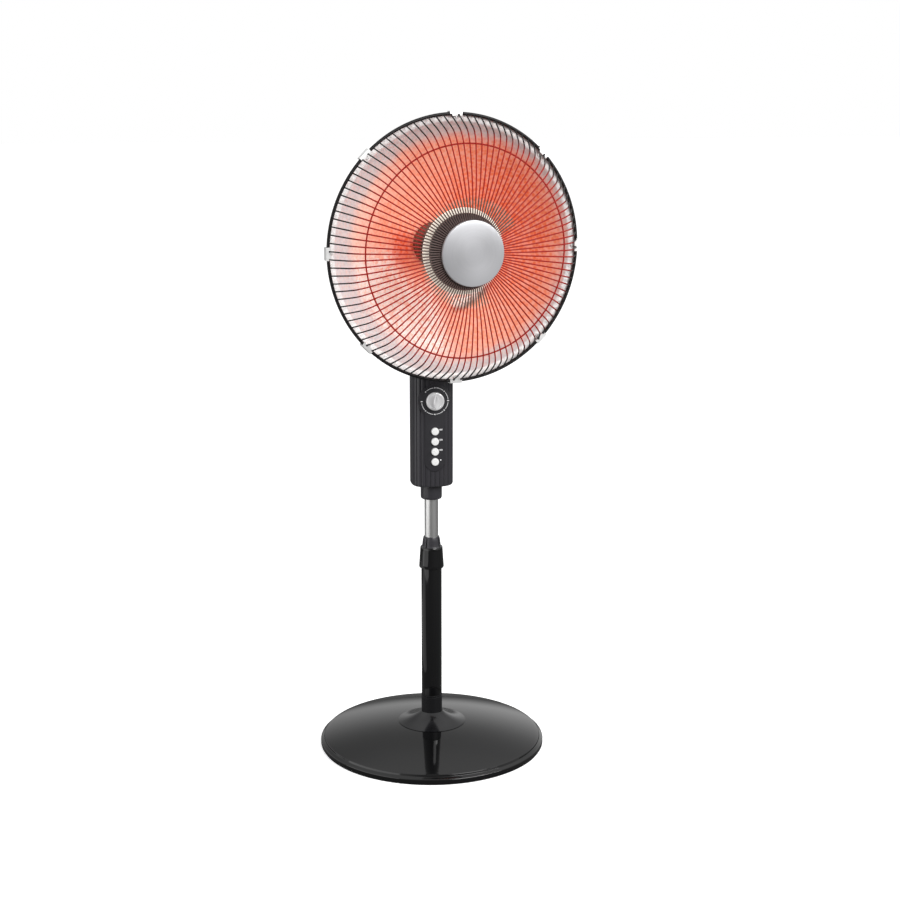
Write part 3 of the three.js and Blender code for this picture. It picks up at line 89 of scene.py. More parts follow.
class Body(Enum):
    """The CAD bodies that the pieces ride on."""

    STAND = "stand"
    LOCK_NUT = "lock_nut"
    COLUMN = "column"
    TIMER_KNOB = "timer_knob"
    SWIVEL = "swivel"
    HEAD = "head"


class Slot(Enum):
    """The record's material slots."""

    GLOSS_ENAMEL = "gloss_black_enamel"
    SATIN_PLASTIC = "satin_black_plastic"
    MATT_PLASTIC = "matt_black_plastic"
    RUBBER = "black_rubber_pad"
    BLACK_STEEL = "black_steel"
    PAINTED_HEAD = "black_painted_head"
    CAST_WEIGHT = "cast_weight"
    BRIGHT_STEEL = "bright_steel"
    BRUSHED_SILVER = "brushed_silver"
    REFLECTOR = "hammered_reflector"
    WHITE_PLASTIC = "white_plastic"
    PALE_CERAMIC = "pale_ceramic"
    DARK_CERAMIC = "dark_ceramic"
    GLOWING_WIRE = "glowing_wire"


class Carving(Enum):
    """What a second shape does to the first."""

    ADD = "UNION"
    CUT = "DIFFERENCE"
    KEEP = "INTERSECT"


# PLACES


@dataclass(frozen=True)
class Levels:
    """Heights from the floor at which the pieces meet."""

    pad_top: float = 2.0
    shell_bottom: float = 2.3
    shell_edge: float = 12.8
    shell_shoulder: float = 16.5
    socket_flange_bottom: float = 41.66
    socket_flange_top: float = 45.66
    socket_top: float = 89.96
    outer_pole_bottom: float = 90.26
    outer_pole_top: float = 351.96
    collet_flange: float = 352.26
    lock_nut_bottom: float = 325.96
    lock_nut_top: float = 363.96
    collet_top: float = 381.96
    inner_pole_bottom: float = 202.26
    inner_pole_top: float = 497.26
    collar_bottom: float = 450.96
    column_bottom: float = 477.26
    column_top: float = 741.96
    neck_bottom: float = 742.26
    pivot: float = 806.96
    head_axis: float = 894.96
    dial: float = 628.76
    buttons: tuple[float, ...] = (575.96, 558.16, 540.36, 522.56)


@dataclass(frozen=True)
class HeadPose:
    """Where the head stands at rest: turned about the column and held out in front of it."""

    yaw: float = math.radians(8.4)
    forward: float = 114.0


LEVELS = Levels()
HEAD_POSE = HeadPose()
FACING_FRONT = Matrix.Rotation(RIGHT_ANGLE, 4, "X")
FACING_BACK = Matrix.Rotation(-RIGHT_ANGLE, 4, "X")
UPRIGHT = Matrix.Scale(MILLIMETRE, 4)
TURNED_WITH_HEAD = Matrix.Rotation(HEAD_POSE.yaw, 4, "Z") @ UPRIGHT
ON_HEAD_AXIS = (TURNED_WITH_HEAD
                @ Matrix.Translation((0, -HEAD_POSE.forward, LEVELS.head_axis)) @ FACING_FRONT)


def on_front(level: float, plane: float) -> Matrix:
    """Place on the column's front, in metres: drawn flat, with +Y up and +Z out of the face."""
    return UPRIGHT @ Matrix.Translation((0, -plane, level)) @ FACING_FRONT


# SHAPES


class Form:
    """A closed shape in the making: its points in millimetres and the faces between them."""

    def __init__(self, points: Iterable[Sequence[float]], faces: Iterable[Sequence[int]]) -> None:
        """Keeps the points as vectors and the faces as tuples of places among them."""
        self.points = [Vector(point) for point in points]
        self.faces = [tuple(face) for face in faces]

    def placed(self, place: Matrix) -> Form:
        """The same shape in another place."""
        return Form([place @ point for point in self.points], self.faces)

    def with_others(self, *others: Form) -> Form:
        """Several shapes as one, each still closed in itself.

        Args:
            others: the shapes that go with this one.
        Returns:
            One shape that holds them all.
        """
        points, faces = list(self.points), list(self.faces)
        for other in others:
            start = len(points)
            points.extend(other.points)
            faces.extend(tuple(start + corner for corner in face) for face in other.faces)
        return Form(points, faces)

    def outward(self) -> Form:
        """The same shape with every face turned outwards.

        Returns:
            The shape with its faces in order.
        """
        work = bmesh.new()
        mesh = self.to_mesh("facing")
        work.from_mesh(mesh)
        bmesh.ops.recalc_face_normals(work, faces=work.faces)
        work.to_mesh(mesh)
        work.free()
        result = Form.from_mesh(mesh)
        bpy.data.meshes.remove(mesh)
        return result

    def to_mesh(self, name: str) -> bpy.types.Mesh:
        """The shape as a Blender mesh.

        Args:
            name: the mesh's name.
        Returns:
            The mesh, still in millimetres.
        """
        mesh = bpy.data.meshes.new(name)
        mesh.from_pydata(self.points, [], self.faces)
        return mesh

    @staticmethod
    def from_mesh(mesh: bpy.types.Mesh) -> Form:
        """A mesh read back as a shape."""
        return Form([vertex.co for vertex in mesh.vertices],
                    [polygon.vertices for polygon in mesh.polygons])


def strip(first: Sequence[int], second: Sequence[int]) -> list[tuple[int, ...]]:
    """Faces between two rings of points, where a ring may be a single point.

    Args:
        first: the points of one ring, in order.
        second: the points of the next.
    Returns:
        The faces that join them.
    """
    count = max(len(first), len(second))
    if count == 1:
        return []
    faces = []
    for i in range(count):
        j = (i + 1) % count
        corners = (first[i % len(first)], first[j % len(first)],
                   second[j % len(second)], second[i % len(second)])
        faces.append(tuple(dict.fromkeys(corners)))
    return faces


def softened(corners: Sequence[Sequence[float]], steps: int = 4) -> list[Point2]:
    """An outline whose corners are rounded.

    Args:
        corners: each corner's two coordinates, with the length of its rounding where it has one.
        steps: parts of each rounding.
    Returns:
        The outline's points.
    """
    outline: list[Point2] = []
    for i, corner in enumerate(corners):
        at = Vector(corner[:2])
        if len(corner) < 3 or corner[2] <= 0:
            outline.append((at.x, at.y))
            continue
        before = Vector(corners[i - 1][:2]) - at
        after = Vector(corners[(i + 1) % len(corners)][:2]) - at
        start = at + before * min(0.45, corner[2] / before.length)
        end = at + after * min(0.45, corner[2] / after.length)
        for k in range(steps + 1):
            share = k / steps
            point = start.lerp(at, share).lerp(at.lerp(end, share), share)
            outline.append((point.x, point.y))
    return outline


def turned(outline: Sequence[Point2], sides: int = 96,
           swell: Callable[[float, float], float] | None = None) -> Form:
    """A shape turned round the Z axis.

    Args:
        outline: closed outline of radius and height; a point on the axis becomes a pole.
        sides: points round the axis.
        swell: gives the radius at a radius and an angle, where the shape isn't round.
    Returns:
        The turned shape.
    """
    points: list[Sequence[float]] = []
    rings: list[list[int]] = []
    for radius, height in outline:
        if radius < TINY:
            rings.append([len(points)])
            points.append((0, 0, height))
            continue
        rings.append(list(range(len(points), len(points) + sides)))
        for i in range(sides):
            angle = TURN * i / sides
            reach = swell(radius, angle) if swell else radius
            points.append((reach * math.cos(angle), reach * math.sin(angle), height))
    faces = [face for first, second in zip(rings, rings[1:] + rings[:1])
             for face in strip(first, second)]
    return Form(points, faces).outward()


def lofted(loops: Sequence[Sequence[Sequence[float]]]) -> Form:
    """A shape through loops with the same number of points, closed by a flat face at each end.

    Args:
        loops: the loops, in order.
    Returns:
        The closed shape.
    """
    count = len(loops[0])
    rings = [list(range(k * count, (k + 1) * count)) for k in range(len(loops))]
    faces = [face for first, second in zip(rings, rings[1:]) for face in strip(first, second)]
    points = [point for loop in loops for point in loop]
    return Form(points, [*faces, tuple(rings[0]), tuple(rings[-1])]).outward()


def inset(outline: Sequence[Point2], distance: float) -> list[Point2]:
    """A flat outline moved inwards.

    Args:
        outline: points in order, counterclockwise.
        distance: how far each edge moves.
    Returns:
        The smaller outline.
    """
    moved: list[Point2] = []
    for i, point in enumerate(outline):
        before = (Vector(point) - Vector(outline[i - 1])).normalized()
        after = (Vector(outline[(i + 1) % len(outline)]) - Vector(point)).normalized()
        inward = Vector((-before.y - after.y, before.x + after.x)).normalized()
        reach = distance / max(inward.dot(Vector((-after.y, after.x))), 0.3)
        moved.append((point[0] + reach * inward.x, point[1] + reach * inward.y))
    return moved


def slab(outline: Sequence[Point2], bottom: float, top: float, edge: float = 0.0,
         steps: int = 3) -> Form:
    """A flat plate with rounded edges.

    Args:
        outline: points in order, counterclockwise.
        bottom: level of its underside.
        top: level of its upper side.
        edge: radius of the edges.
        steps: parts of each rounded edge.
    Returns:
        The plate.
    """
    stations: list[Point2] = []
    if edge > 0:
        for k in range(steps + 1):
            angle = k * RIGHT_ANGLE / steps
            stations.append((edge * (1 - math.sin(angle)), bottom + edge * (1 - math.cos(angle))))
        stations += [(shift, top + bottom - level) for shift, level in reversed(stations)]
    else:
        stations = [(0.0, bottom), (0.0, top)]
    return lofted([[(x, y, level) for x, y in inset(outline, shift)] for shift, level in stations])


def arc(centre: Point2, radius: float, start: float, end: float, steps: int) -> list[Point2]:
    """Points along an arc from one angle to another, both ends included."""
    angles = [start + (end - start) * k / steps for k in range(steps + 1)]
    return [(centre[0] + radius * math.cos(a), centre[1] + radius * math.sin(a)) for a in angles]


def circle(radius: float, steps: int = 48, centre: Point2 = (0.0, 0.0)) -> list[Point2]:
    """Points round a full circle, counterclockwise."""
    return arc(centre, radius, 0, TURN, steps)[:-1]


def rounded_box(half_width: float, half_height: float, radius: float, steps: int = 6,
                centre: Point2 = (0.0, 0.0)) -> list[Point2]:
    """A rectangle with round corners.

    Args:
        half_width: half its width.
        half_height: half its height.
        radius: radius of its corners.
        steps: parts of each corner.
        centre: its middle.
    Returns:
        The outline, counterclockwise.
    """
    reach_x, reach_y = half_width - radius, half_height - radius
    outline: list[Point2] = []
    for i, (x, y) in enumerate(((reach_x, reach_y), (-reach_x, reach_y),
                                (-reach_x, -reach_y), (reach_x, -reach_y))):
        outline += arc((centre[0] + x, centre[1] + y), radius, i * RIGHT_ANGLE,
                       (i + 1) * RIGHT_ANGLE, steps)
    return outline


def smooth_line(knots: Sequence[Point2], steps: int) -> list[Point2]:
    """A smooth curve through some points.

    Args:
        knots: the points that it passes.
        steps: parts between two of them.
    Returns:
        Points along the curve.
    """
    spots = [Vector(knot) for knot in knots]
    spots = [2 * spots[0] - spots[1], *spots, 2 * spots[-1] - spots[-2]]
    line: list[Point2] = []
    for p0, p1, p2, p3 in zip(spots, spots[1:], spots[2:], spots[3:]):
        for k in range(steps):
            t = k / steps
            point = 0.5 * (2 * p1 + (p2 - p0) * t + (2 * p0 - 5 * p1 + 4 * p2 - p3) * t ** 2
                           + (3 * p1 - p0 - 3 * p2 + p3) * t ** 3)
            line.append((point.x, point.y))
    return [*line, tuple(spots[-2])]


def carved(base: Form, *steps: tuple[Carving, Form]) -> Form:
    """A shape cut, joined or trimmed by others.

    Args:
        base: the shape to start from.
        steps: what each other shape does to it, in order.
    Returns:
        The result.
    """
    work = bpy.data.objects.new("work", base.to_mesh("work"))
    bpy.context.scene.collection.objects.link(work)
    tools = []
    for carving, form in steps:
        tool = bpy.data.objects.new("tool", form.to_mesh("tool"))
        bpy.context.scene.collection.objects.link(tool)
        modifier = work.modifiers.new(carving.name, "BOOLEAN")
        modifier.operation = carving.value
        modifier.solver = "EXACT"
        modifier.object = tool
        tools.append(tool)
    result = Form.from_mesh(evaluated_mesh(work))
    for obj in (work, *tools):
        bpy.data.objects.remove(obj)
    return result


def evaluated_mesh(obj: bpy.types.Object) -> bpy.types.Mesh:
    """What an object's modifiers make of it, as a plain mesh."""
    depsgraph = bpy.context.evaluated_depsgraph_get()
    return bpy.data.meshes.new_from_object(obj.evaluated_get(depsgraph), depsgraph=depsgraph)


def add_piece(name: str, form: Form, place: Matrix, material: bpy.types.Material, body: str,
              nodes: Sequence[str] = (), crease: float = 35.0) -> bpy.types.Object:
    """Puts a finished piece in the scene and says what it is.

    Args:
        name: the piece's name.
        form: its shape, in millimetres.
        place: takes the shape to its place, in metres.
        material: its finish.
        body: the CAD body that it rides on.
        nodes: the CAD nodes that it stands for.
        crease: edges sharper than this many degrees stay sharp.
    Returns:
        The piece.
    """
    mesh = form.placed(place).to_mesh(name)
    mesh.materials.append(material)
    mesh.shade_smooth()
    mesh.set_sharp_from_angle(angle=math.radians(crease))
    piece = bpy.data.objects.new(name, mesh)
    bpy.context.scene.collection.objects.link(piece)
    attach(piece, body)
    if nodes:
        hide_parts(*nodes)
    LOG.info("%s rides on %s, %d faces", piece.name, body, len(mesh.polygons))
    return piece


# NODES


def colour(red: int, green: int, blue: int) -> Colour:
    """A colour as it shows on a screen, 0 to 255, in the linear values that shaders take."""
    def linear(value: int) -> float:
        """One channel in linear light."""
        share = value / 255
        return share / 12.92 if share <= 0.04045 else ((share + 0.055) / 1.055) ** 2.4
    return (linear(red), linear(green), linear(blue), 1.0)


class Graph:
    """Adds nodes to one tree. A value may be a number, a colour, or another node's output."""

    def __init__(self, tree: Tree) -> None:
        """Works in the given tree."""
        self.tree = tree

    def add(self, kind: str, values: dict[str | int, Any] | None = None,
            **settings: Any) -> bpy.types.Node:
        """Adds a node.

        Args:
            kind: the node's type.
            values: what goes into its inputs, by name or number.
            settings: the node's own settings.
        Returns:
            The node.
        """
        node = self.tree.nodes.new(kind)
        for name, setting in settings.items():
            setattr(node, name, setting)
        for key, value in (values or {}).items():
            self.join(value, node.inputs[key])
        return node

    def join(self, value: Any, socket: Socket) -> None:
        """Sends a value or another node's output into an input."""
        if isinstance(value, Socket):
            self.tree.links.new(value, socket)
        else:
            socket.default_value = value

    def maths(self, operation: str, *values: Any, clamp: bool = False) -> Socket:
        """A sum or another operation on numbers.

        Args:
            operation: the operation's name.
            values: its terms.
            clamp: keeps the result from 0 to 1.
        Returns:
            The result.
        """
        node = self.add("ShaderNodeMath", dict(enumerate(values)), operation=operation,
                        use_clamp=clamp)
        return node.outputs[0]

    def vector(self, operation: str, *values: Any) -> bpy.types.Node:
        """An operation on vectors; its node has the result, or the length, as an output."""
        return self.add("ShaderNodeVectorMath", dict(enumerate(values)), operation=operation)

    def blend(self, share: Any, first: Any, second: Any,
              kind: str = "MIX") -> Socket:
        """A mixture of two colours.

        Args:
            share: how much of the second shows.
            first: the first colour.
            second: the second colour.
            kind: how the second lies over the first.
        Returns:
            The mixture.
        """
        node = self.add("ShaderNodeMix", {0: share, 6: first, 7: second}, data_type="RGBA",
                        blend_type=kind)
        return node.outputs[2]

    def step(self, value: Any, start: Any, end: Any, low: float = 0.0,
             high: float = 1.0) -> Socket:
        """A smooth step from one level to another.

        Args:
            value: what it depends on.
            start: value at which it starts.
            end: value at which it is done.
            low: level before it.
            high: level after it.
        Returns:
            The level.
        """
        node = self.add("ShaderNodeMapRange", {"Value": value, "From Min": start, "From Max": end,
                                               "To Min": low, "To Max": high},
                        interpolation_type="SMOOTHSTEP")
        return node.outputs["Result"]

    def noise(self, place: Any, scale: Any, detail: float = 2.0,
              roughness: float = 0.5) -> Socket:
        """Soft noise.

        Args:
            place: coordinates.
            scale: waves for each metre.
            detail: layers of finer noise.
            roughness: weight of the finer layers.
        Returns:
            The noise, about 0.5 on average.
        """
        node = self.add("ShaderNodeTexNoise", {"Vector": place, "Scale": scale, "Detail": detail,
                                               "Roughness": roughness})
        return node.outputs[0]

    def use(self, group: Tree, values: dict[str, Any]) -> bpy.types.Node:
        """Places a shared effect with its own values."""
        return self.add("ShaderNodeGroup", values, node_tree=group)

    def shaded(self, tone: Any, shade: Socket) -> Socket:
        """A tone made darker or lighter by a shade about 1."""
        grey = self.add("ShaderNodeCombineColor", {0: shade, 1: shade, 2: shade}).outputs[0]
        return self.blend(1.0, tone, grey, "MULTIPLY")


SocketPlan = dict[str, tuple[str, Any]]


def node_group(name: str, kind: str, inputs: SocketPlan, outputs: dict[str, str],
               draw: Callable[[Graph, Sockets], dict[str, Any]]) -> Tree:
    """Builds a node group once and returns it.

    Args:
        name: the group's name.
        kind: the tree's type.
        inputs: each input's socket type and starting value.
        outputs: each output's socket type.
        draw: makes the nodes from the inputs, and returns what goes to each output.
    Returns:
        The group.
    """
    found = bpy.data.node_groups.get(name)
    if found:
        return found
    tree = bpy.data.node_groups.new(name, kind)
    for label, (socket_type, start) in inputs.items():
        socket = tree.interface.new_socket(label, in_out="INPUT", socket_type=socket_type)
        if start is not None:
            socket.default_value = start
    for label, socket_type in outputs.items():
        tree.interface.new_socket(label, in_out="OUTPUT", socket_type=socket_type)
    graph = Graph(tree)
    results = draw(graph, graph.add("NodeGroupInput").outputs)
    graph.add("NodeGroupOutput", results)
    return tree


FLOAT, VECTOR = "NodeSocketFloat", "NodeSocketVector"
SHADER_TREE, GEOMETRY_TREE = "ShaderNodeTree", "GeometryNodeTree"


def skin_group() -> Tree:
    """Fine grain with soft smudges, for moulded, painted and fired surfaces."""
    def draw(graph: Graph, given: Sockets) -> dict[str, Any]:
        """Layers two sizes of grain and one of smudges."""
        fine = graph.noise(given["Place"], given["Grain"], 3.0, 0.6)
        coarse = graph.noise(given["Place"], graph.maths("MULTIPLY", given["Grain"], 0.23), 2.0)
        height = graph.maths("ADD", graph.maths("MULTIPLY", fine, 0.6),
                             graph.maths("MULTIPLY", coarse, 0.4))
        smudge = graph.noise(given["Place"], given["Smudge"], 3.0, 0.55)
        swing = graph.maths("SUBTRACT", smudge, 0.5)
        rough = graph.maths("MULTIPLY_ADD", swing, given["Unevenness"], given["Roughness"],
                            clamp=True)
        shade = graph.maths("MULTIPLY_ADD", swing, given["Mottle"], 1.0)
        return {"Height": height, "Roughness": rough, "Shade": shade}
    return node_group("Skin", SHADER_TREE, {
        "Place": (VECTOR, None), "Grain": (FLOAT, 900.0), "Smudge": (FLOAT, 14.0),
        "Roughness": (FLOAT, 0.4), "Unevenness": (FLOAT, 0.1), "Mottle": (FLOAT, 0.2),
    }, {"Height": FLOAT, "Roughness": FLOAT, "Shade": FLOAT}, draw)


def brushed_group() -> Tree:
    """Fine lines along one direction, as brushing, drawing or turning leaves them."""
    def draw(graph: Graph, given: Sockets) -> dict[str, Any]:
        """Stretches noise along the lines."""
        place = graph.vector("MULTIPLY", given["Place"], given["Fineness"]).outputs[0]
        lines = graph.noise(place, 1.0, 4.0, 0.7)
        broad = graph.noise(place, 0.13, 2.0)
        mixed = graph.maths("ADD", graph.maths("MULTIPLY", lines, 0.65),
                            graph.maths("MULTIPLY", broad, 0.35))
        swing = graph.maths("SUBTRACT", mixed, 0.5)
        rough = graph.maths("MULTIPLY_ADD", swing, given["Unevenness"], given["Roughness"],
                            clamp=True)
        shade = graph.maths("MULTIPLY_ADD", swing, given["Streak"], 1.0)
        return {"Height": mixed, "Roughness": rough, "Shade": shade}
    return node_group("Brushed", SHADER_TREE, {
        "Place": (VECTOR, None), "Fineness": (VECTOR, (1.0, 1.0, 1.0)),
        "Roughness": (FLOAT, 0.3), "Unevenness": (FLOAT, 0.2), "Streak": (FLOAT, 0.3),
    }, {"Height": FLOAT, "Roughness": FLOAT, "Shade": FLOAT}, draw)


def polar_group() -> Tree:
    """Radius and angle round the head's axis, and the distance forward along it."""
    def draw(graph: Graph, given: Sockets) -> dict[str, Any]:
        """Takes a point of the object to the head's own axes."""
        local = graph.add("ShaderNodeMapping", {
            "Vector": given["Place"], "Location": ON_HEAD_AXIS.to_translation(),
            "Rotation": ON_HEAD_AXIS.to_euler()}, vector_type="TEXTURE").outputs[0]
        parts = graph.add("ShaderNodeSeparateXYZ", {0: local}).outputs
        flat = graph.add("ShaderNodeCombineXYZ", {"X": parts["X"], "Y": parts["Y"]}).outputs[0]
        return {"Radius": graph.vector("LENGTH", flat).outputs["Value"],
                "Angle": graph.maths("ARCTAN2", parts["Y"], parts["X"]),
                "Forward": parts["Z"]}
    return node_group("Head axes", SHADER_TREE, {"Place": (VECTOR, None)},
                      {"Radius": FLOAT, "Angle": FLOAT, "Forward": FLOAT}, draw)


def wedge_group() -> Tree:
    """A fan about one direction, between an inner and an outer radius, with soft edges."""
    def draw(graph: Graph, given: Sockets) -> dict[str, Any]:
        """Falls off with the angle from the direction, and at both radii."""
        turn = graph.maths("COSINE", graph.maths("SUBTRACT", given["Angle"], given["Direction"]))
        fan = graph.step(turn, graph.maths("COSINE", given["Reach"]),
                         graph.maths("COSINE", given["Core"]))
        start = graph.step(given["Radius"], given["Inner"],
                           graph.maths("ADD", given["Inner"], given["Softness"]))
        end = graph.step(given["Radius"], given["Outer"],
                         graph.maths("SUBTRACT", given["Outer"], given["Softness"]))
        return {"Mask": graph.maths("MULTIPLY", fan, graph.maths("MULTIPLY", start, end))}
    return node_group("Wedge", SHADER_TREE, {
        "Angle": (FLOAT, 0.0), "Radius": (FLOAT, 0.0), "Direction": (FLOAT, 0.0),
        "Reach": (FLOAT, 1.0), "Core": (FLOAT, 0.0), "Inner": (FLOAT, 0.0),
        "Outer": (FLOAT, 1.0), "Softness": (FLOAT, 0.1),
    }, {"Mask": FLOAT}, draw)


# FINISHES


@dataclass(frozen=True)
class Finish(ABC):
    """A surface's look, made as a material the first time that it is asked for."""

    name: str

    def material(self) -> bpy.types.Material:
        """The finish's material.

        Returns:
            The material, built once.
        """
        found = bpy.data.materials.get(self.name)
        if found:
            return found
        material = bpy.data.materials.new(self.name)
        material.use_nodes = True
        material.node_tree.nodes.clear()
        graph = Graph(material.node_tree)
        surface = graph.add("ShaderNodeBsdfPrincipled")
        graph.add("ShaderNodeOutputMaterial", {"Surface": surface.outputs[0]})
        place = graph.add("ShaderNodeTexCoord").outputs["Object"]
        self.draw(graph, surface, place)
        return material

    @abstractmethod
    def draw(self, graph: Graph, surface: bpy.types.Node, place: Socket) -> None:
        """Makes the nodes that feed the surface.

        Args:
            graph: the material's nodes.
            surface: the Principled shader.
            place: the object's coordinates.
        """

    @staticmethod
    def bump(graph: Graph, surface: bpy.types.Node, height: Any, depth: float,
             strength: float = 1.0) -> None:
        """Lets a height stand out of the surface.

        Args:
            graph: the material's nodes.
            surface: the Principled shader.
            height: the height.
            depth: metres from its lowest to its highest level.
            strength: how much of it shows.
        """
        node = graph.add("ShaderNodeBump", {"Height": height, "Distance": depth,
                                            "Strength": strength})
        graph.join(node.outputs[0], surface.inputs["Normal"])


@dataclass(frozen=True)
class Coated(Finish):
    """Enamel, paint, moulded plastic, rubber, casting or ceramic, with its grain and smudges."""

    tone: Colour
    roughness: float = 0.4
    unevenness: float = 0.12
    grain: float = 900.0
    grain_depth: float = 0.00008
    smudge: float = 14.0
    mottle: float = 0.25
    metallic: float = 0.0
    specular: float = 0.5
    # glow gives off the tone as light: a painted glow.
    glow: float = 0.0

    def draw(self, graph: Graph, surface: bpy.types.Node, place: Socket) -> None:
        """Grain, smudges and a faint change of tone.

        Args:
            graph: the material's nodes.
            surface: the Principled shader.
            place: the object's coordinates.
        """
        skin = graph.use(skin_group(), {
            "Place": place, "Grain": self.grain, "Smudge": self.smudge,
            "Roughness": self.roughness, "Unevenness": self.unevenness, "Mottle": self.mottle})
        shade = skin.outputs["Shade"]
        graph.join(graph.shaded(self.tone, shade), surface.inputs["Base Color"])
        graph.join(skin.outputs["Roughness"], surface.inputs["Roughness"])
        surface.inputs["Metallic"].default_value = self.metallic
        surface.inputs["Specular IOR Level"].default_value = self.specular
        surface.inputs["Emission Color"].default_value = self.tone
        surface.inputs["Emission Strength"].default_value = self.glow
        self.bump(graph, surface, skin.outputs["Height"], self.grain_depth)


@dataclass(frozen=True)
class Metal(Finish):
    """Bare metal with fine lines that run across the given directions."""

    tone: Colour
    fineness: tuple[float, float, float] = (900.0, 900.0, 40.0)
    roughness: float = 0.25
    unevenness: float = 0.2
    streak: float = 0.25
    line_depth: float = 0.00002
    metallic: float = 1.0

    def lines_place(self, graph: Graph, place: Socket) -> Socket:
        """Coordinates that the lines are drawn in."""
        return place

    def broad_shade(self, _graph: Graph, _place: Socket,
                    shade: Socket) -> Socket:
        """The lines' shade, with any broad change over the whole surface."""
        return shade

    def draw(self, graph: Graph, surface: bpy.types.Node, place: Socket) -> None:
        """Lines in the tone, the roughness and the surface.

        Args:
            graph: the material's nodes.
            surface: the Principled shader.
            place: the object's coordinates.
        """
        brushed = graph.use(brushed_group(), {
            "Place": self.lines_place(graph, place), "Fineness": self.fineness,
            "Roughness": self.roughness, "Unevenness": self.unevenness, "Streak": self.streak})
        shade = self.broad_shade(graph, place, brushed.outputs["Shade"])
        graph.join(graph.shaded(self.tone, shade), surface.inputs["Base Color"])
        graph.join(brushed.outputs["Roughness"], surface.inputs["Roughness"])
        surface.inputs["Metallic"].default_value = self.metallic
        self.bump(graph, surface, brushed.outputs["Height"], self.line_depth)


@dataclass(frozen=True)
class SpunMetal(Metal):
    """Metal brushed on a lathe: its lines run round the head's axis, and two fans of highlight are
    painted into its colour.
    """

    # Strength, direction and radii of the painted highlight fans.
    fan: float = 0.14
    fan_direction: float = math.radians(290.0)
    fan_start: float = 0.004
    fan_full: float = 0.03

    def lines_place(self, graph: Graph, place: Socket) -> Socket:
        """Radius, angle and distance forward in place of X, Y and Z.

        Args:
            graph: the material's nodes.
            place: the object's coordinates.
        Returns:
            The turned coordinates.
        """
        polar = graph.use(polar_group(), {"Place": place}).outputs
        return graph.add("ShaderNodeCombineXYZ", {
            "X": polar["Radius"], "Y": graph.maths("SINE", polar["Angle"]),
            "Z": polar["Forward"]}).outputs[0]

    def broad_shade(self, graph: Graph, place: Socket,
                    shade: Socket) -> Socket:
        """Two painted highlight fans across the turned lines, faint at the middle.

        Args:
            graph: the material's nodes.
            place: the object's coordinates.
            shade: the lines' shade.
        Returns:
            The shade with the painted fans.
        """
        polar = graph.use(polar_group(), {"Place": place}).outputs
        turn = graph.maths("SUBTRACT", polar["Angle"], self.fan_direction)
        fans = graph.maths("COSINE", graph.maths("MULTIPLY", turn, 2.0))
        strength = graph.step(polar["Radius"], self.fan_start, self.fan_full, 0.0, self.fan)
        return graph.maths("MULTIPLY_ADD", fans, strength, shade)


@dataclass(frozen=True)
class BeatenMetal(Finish):
    """Aluminium sheet with the round marks of the hammer, and painted glints along their edges."""

    bare: Colour = colour(216, 217, 220)
    tarnish: Colour = colour(150, 150, 154)
    # The colour and share of the painted glints on the marks.
    painted_glint: Colour = colour(255, 240, 230)
    painted_glint_share: float = 0.3
    marks: float = 170.0
    mark_depth: float = 0.0012
    mark_strength: float = 0.6
    metallic: float = 0.7
    roughness: tuple[float, float] = (0.34, 0.5)

    def draw(self, graph: Graph, surface: bpy.types.Node, place: Socket) -> None:
        """The marks in the tone, as painted glints, and in the roughness and the surface.

        Args:
            graph: the material's nodes.
            surface: the Principled shader.
            place: the object's coordinates.
        """
        cloud = graph.noise(place, 26.0, 3.0, 0.6)
        marks = graph.add("ShaderNodeTexVoronoi", {"Vector": place, "Scale": self.marks},
                          feature="F1").outputs["Distance"]
        tone = self.tone(graph, surface, place, cloud)
        # Painted glints: the marks' edges turn a lighter cream, as if they caught the light.
        painted_glint = graph.maths("MULTIPLY", graph.step(marks, 0.2, 0.8), self.painted_glint_share)
        graph.join(graph.blend(painted_glint, tone, self.painted_glint), surface.inputs["Base Color"])
        graph.join(graph.step(cloud, 0.3, 0.7, *self.roughness), surface.inputs["Roughness"])
        surface.inputs["Specular IOR Level"].default_value = 0.25
        surface.inputs["Metallic"].default_value = self.metallic
        self.bump(graph, surface, marks, self.mark_depth, self.mark_strength)

    def tone(self, graph: Graph, _surface: bpy.types.Node, _place: Socket,
             cloud: Socket) -> Socket:
        """The sheet's own colour, a little darker in patches.

        Args:
            graph: the material's nodes.
            _surface: the Principled shader; not used.
            _place: the object's coordinates; not used.
            cloud: soft noise.
        Returns:
            The colour.
        """
        return graph.blend(graph.step(cloud, 0.4, 0.7, 0.0, 0.25), self.bare, self.tarnish)


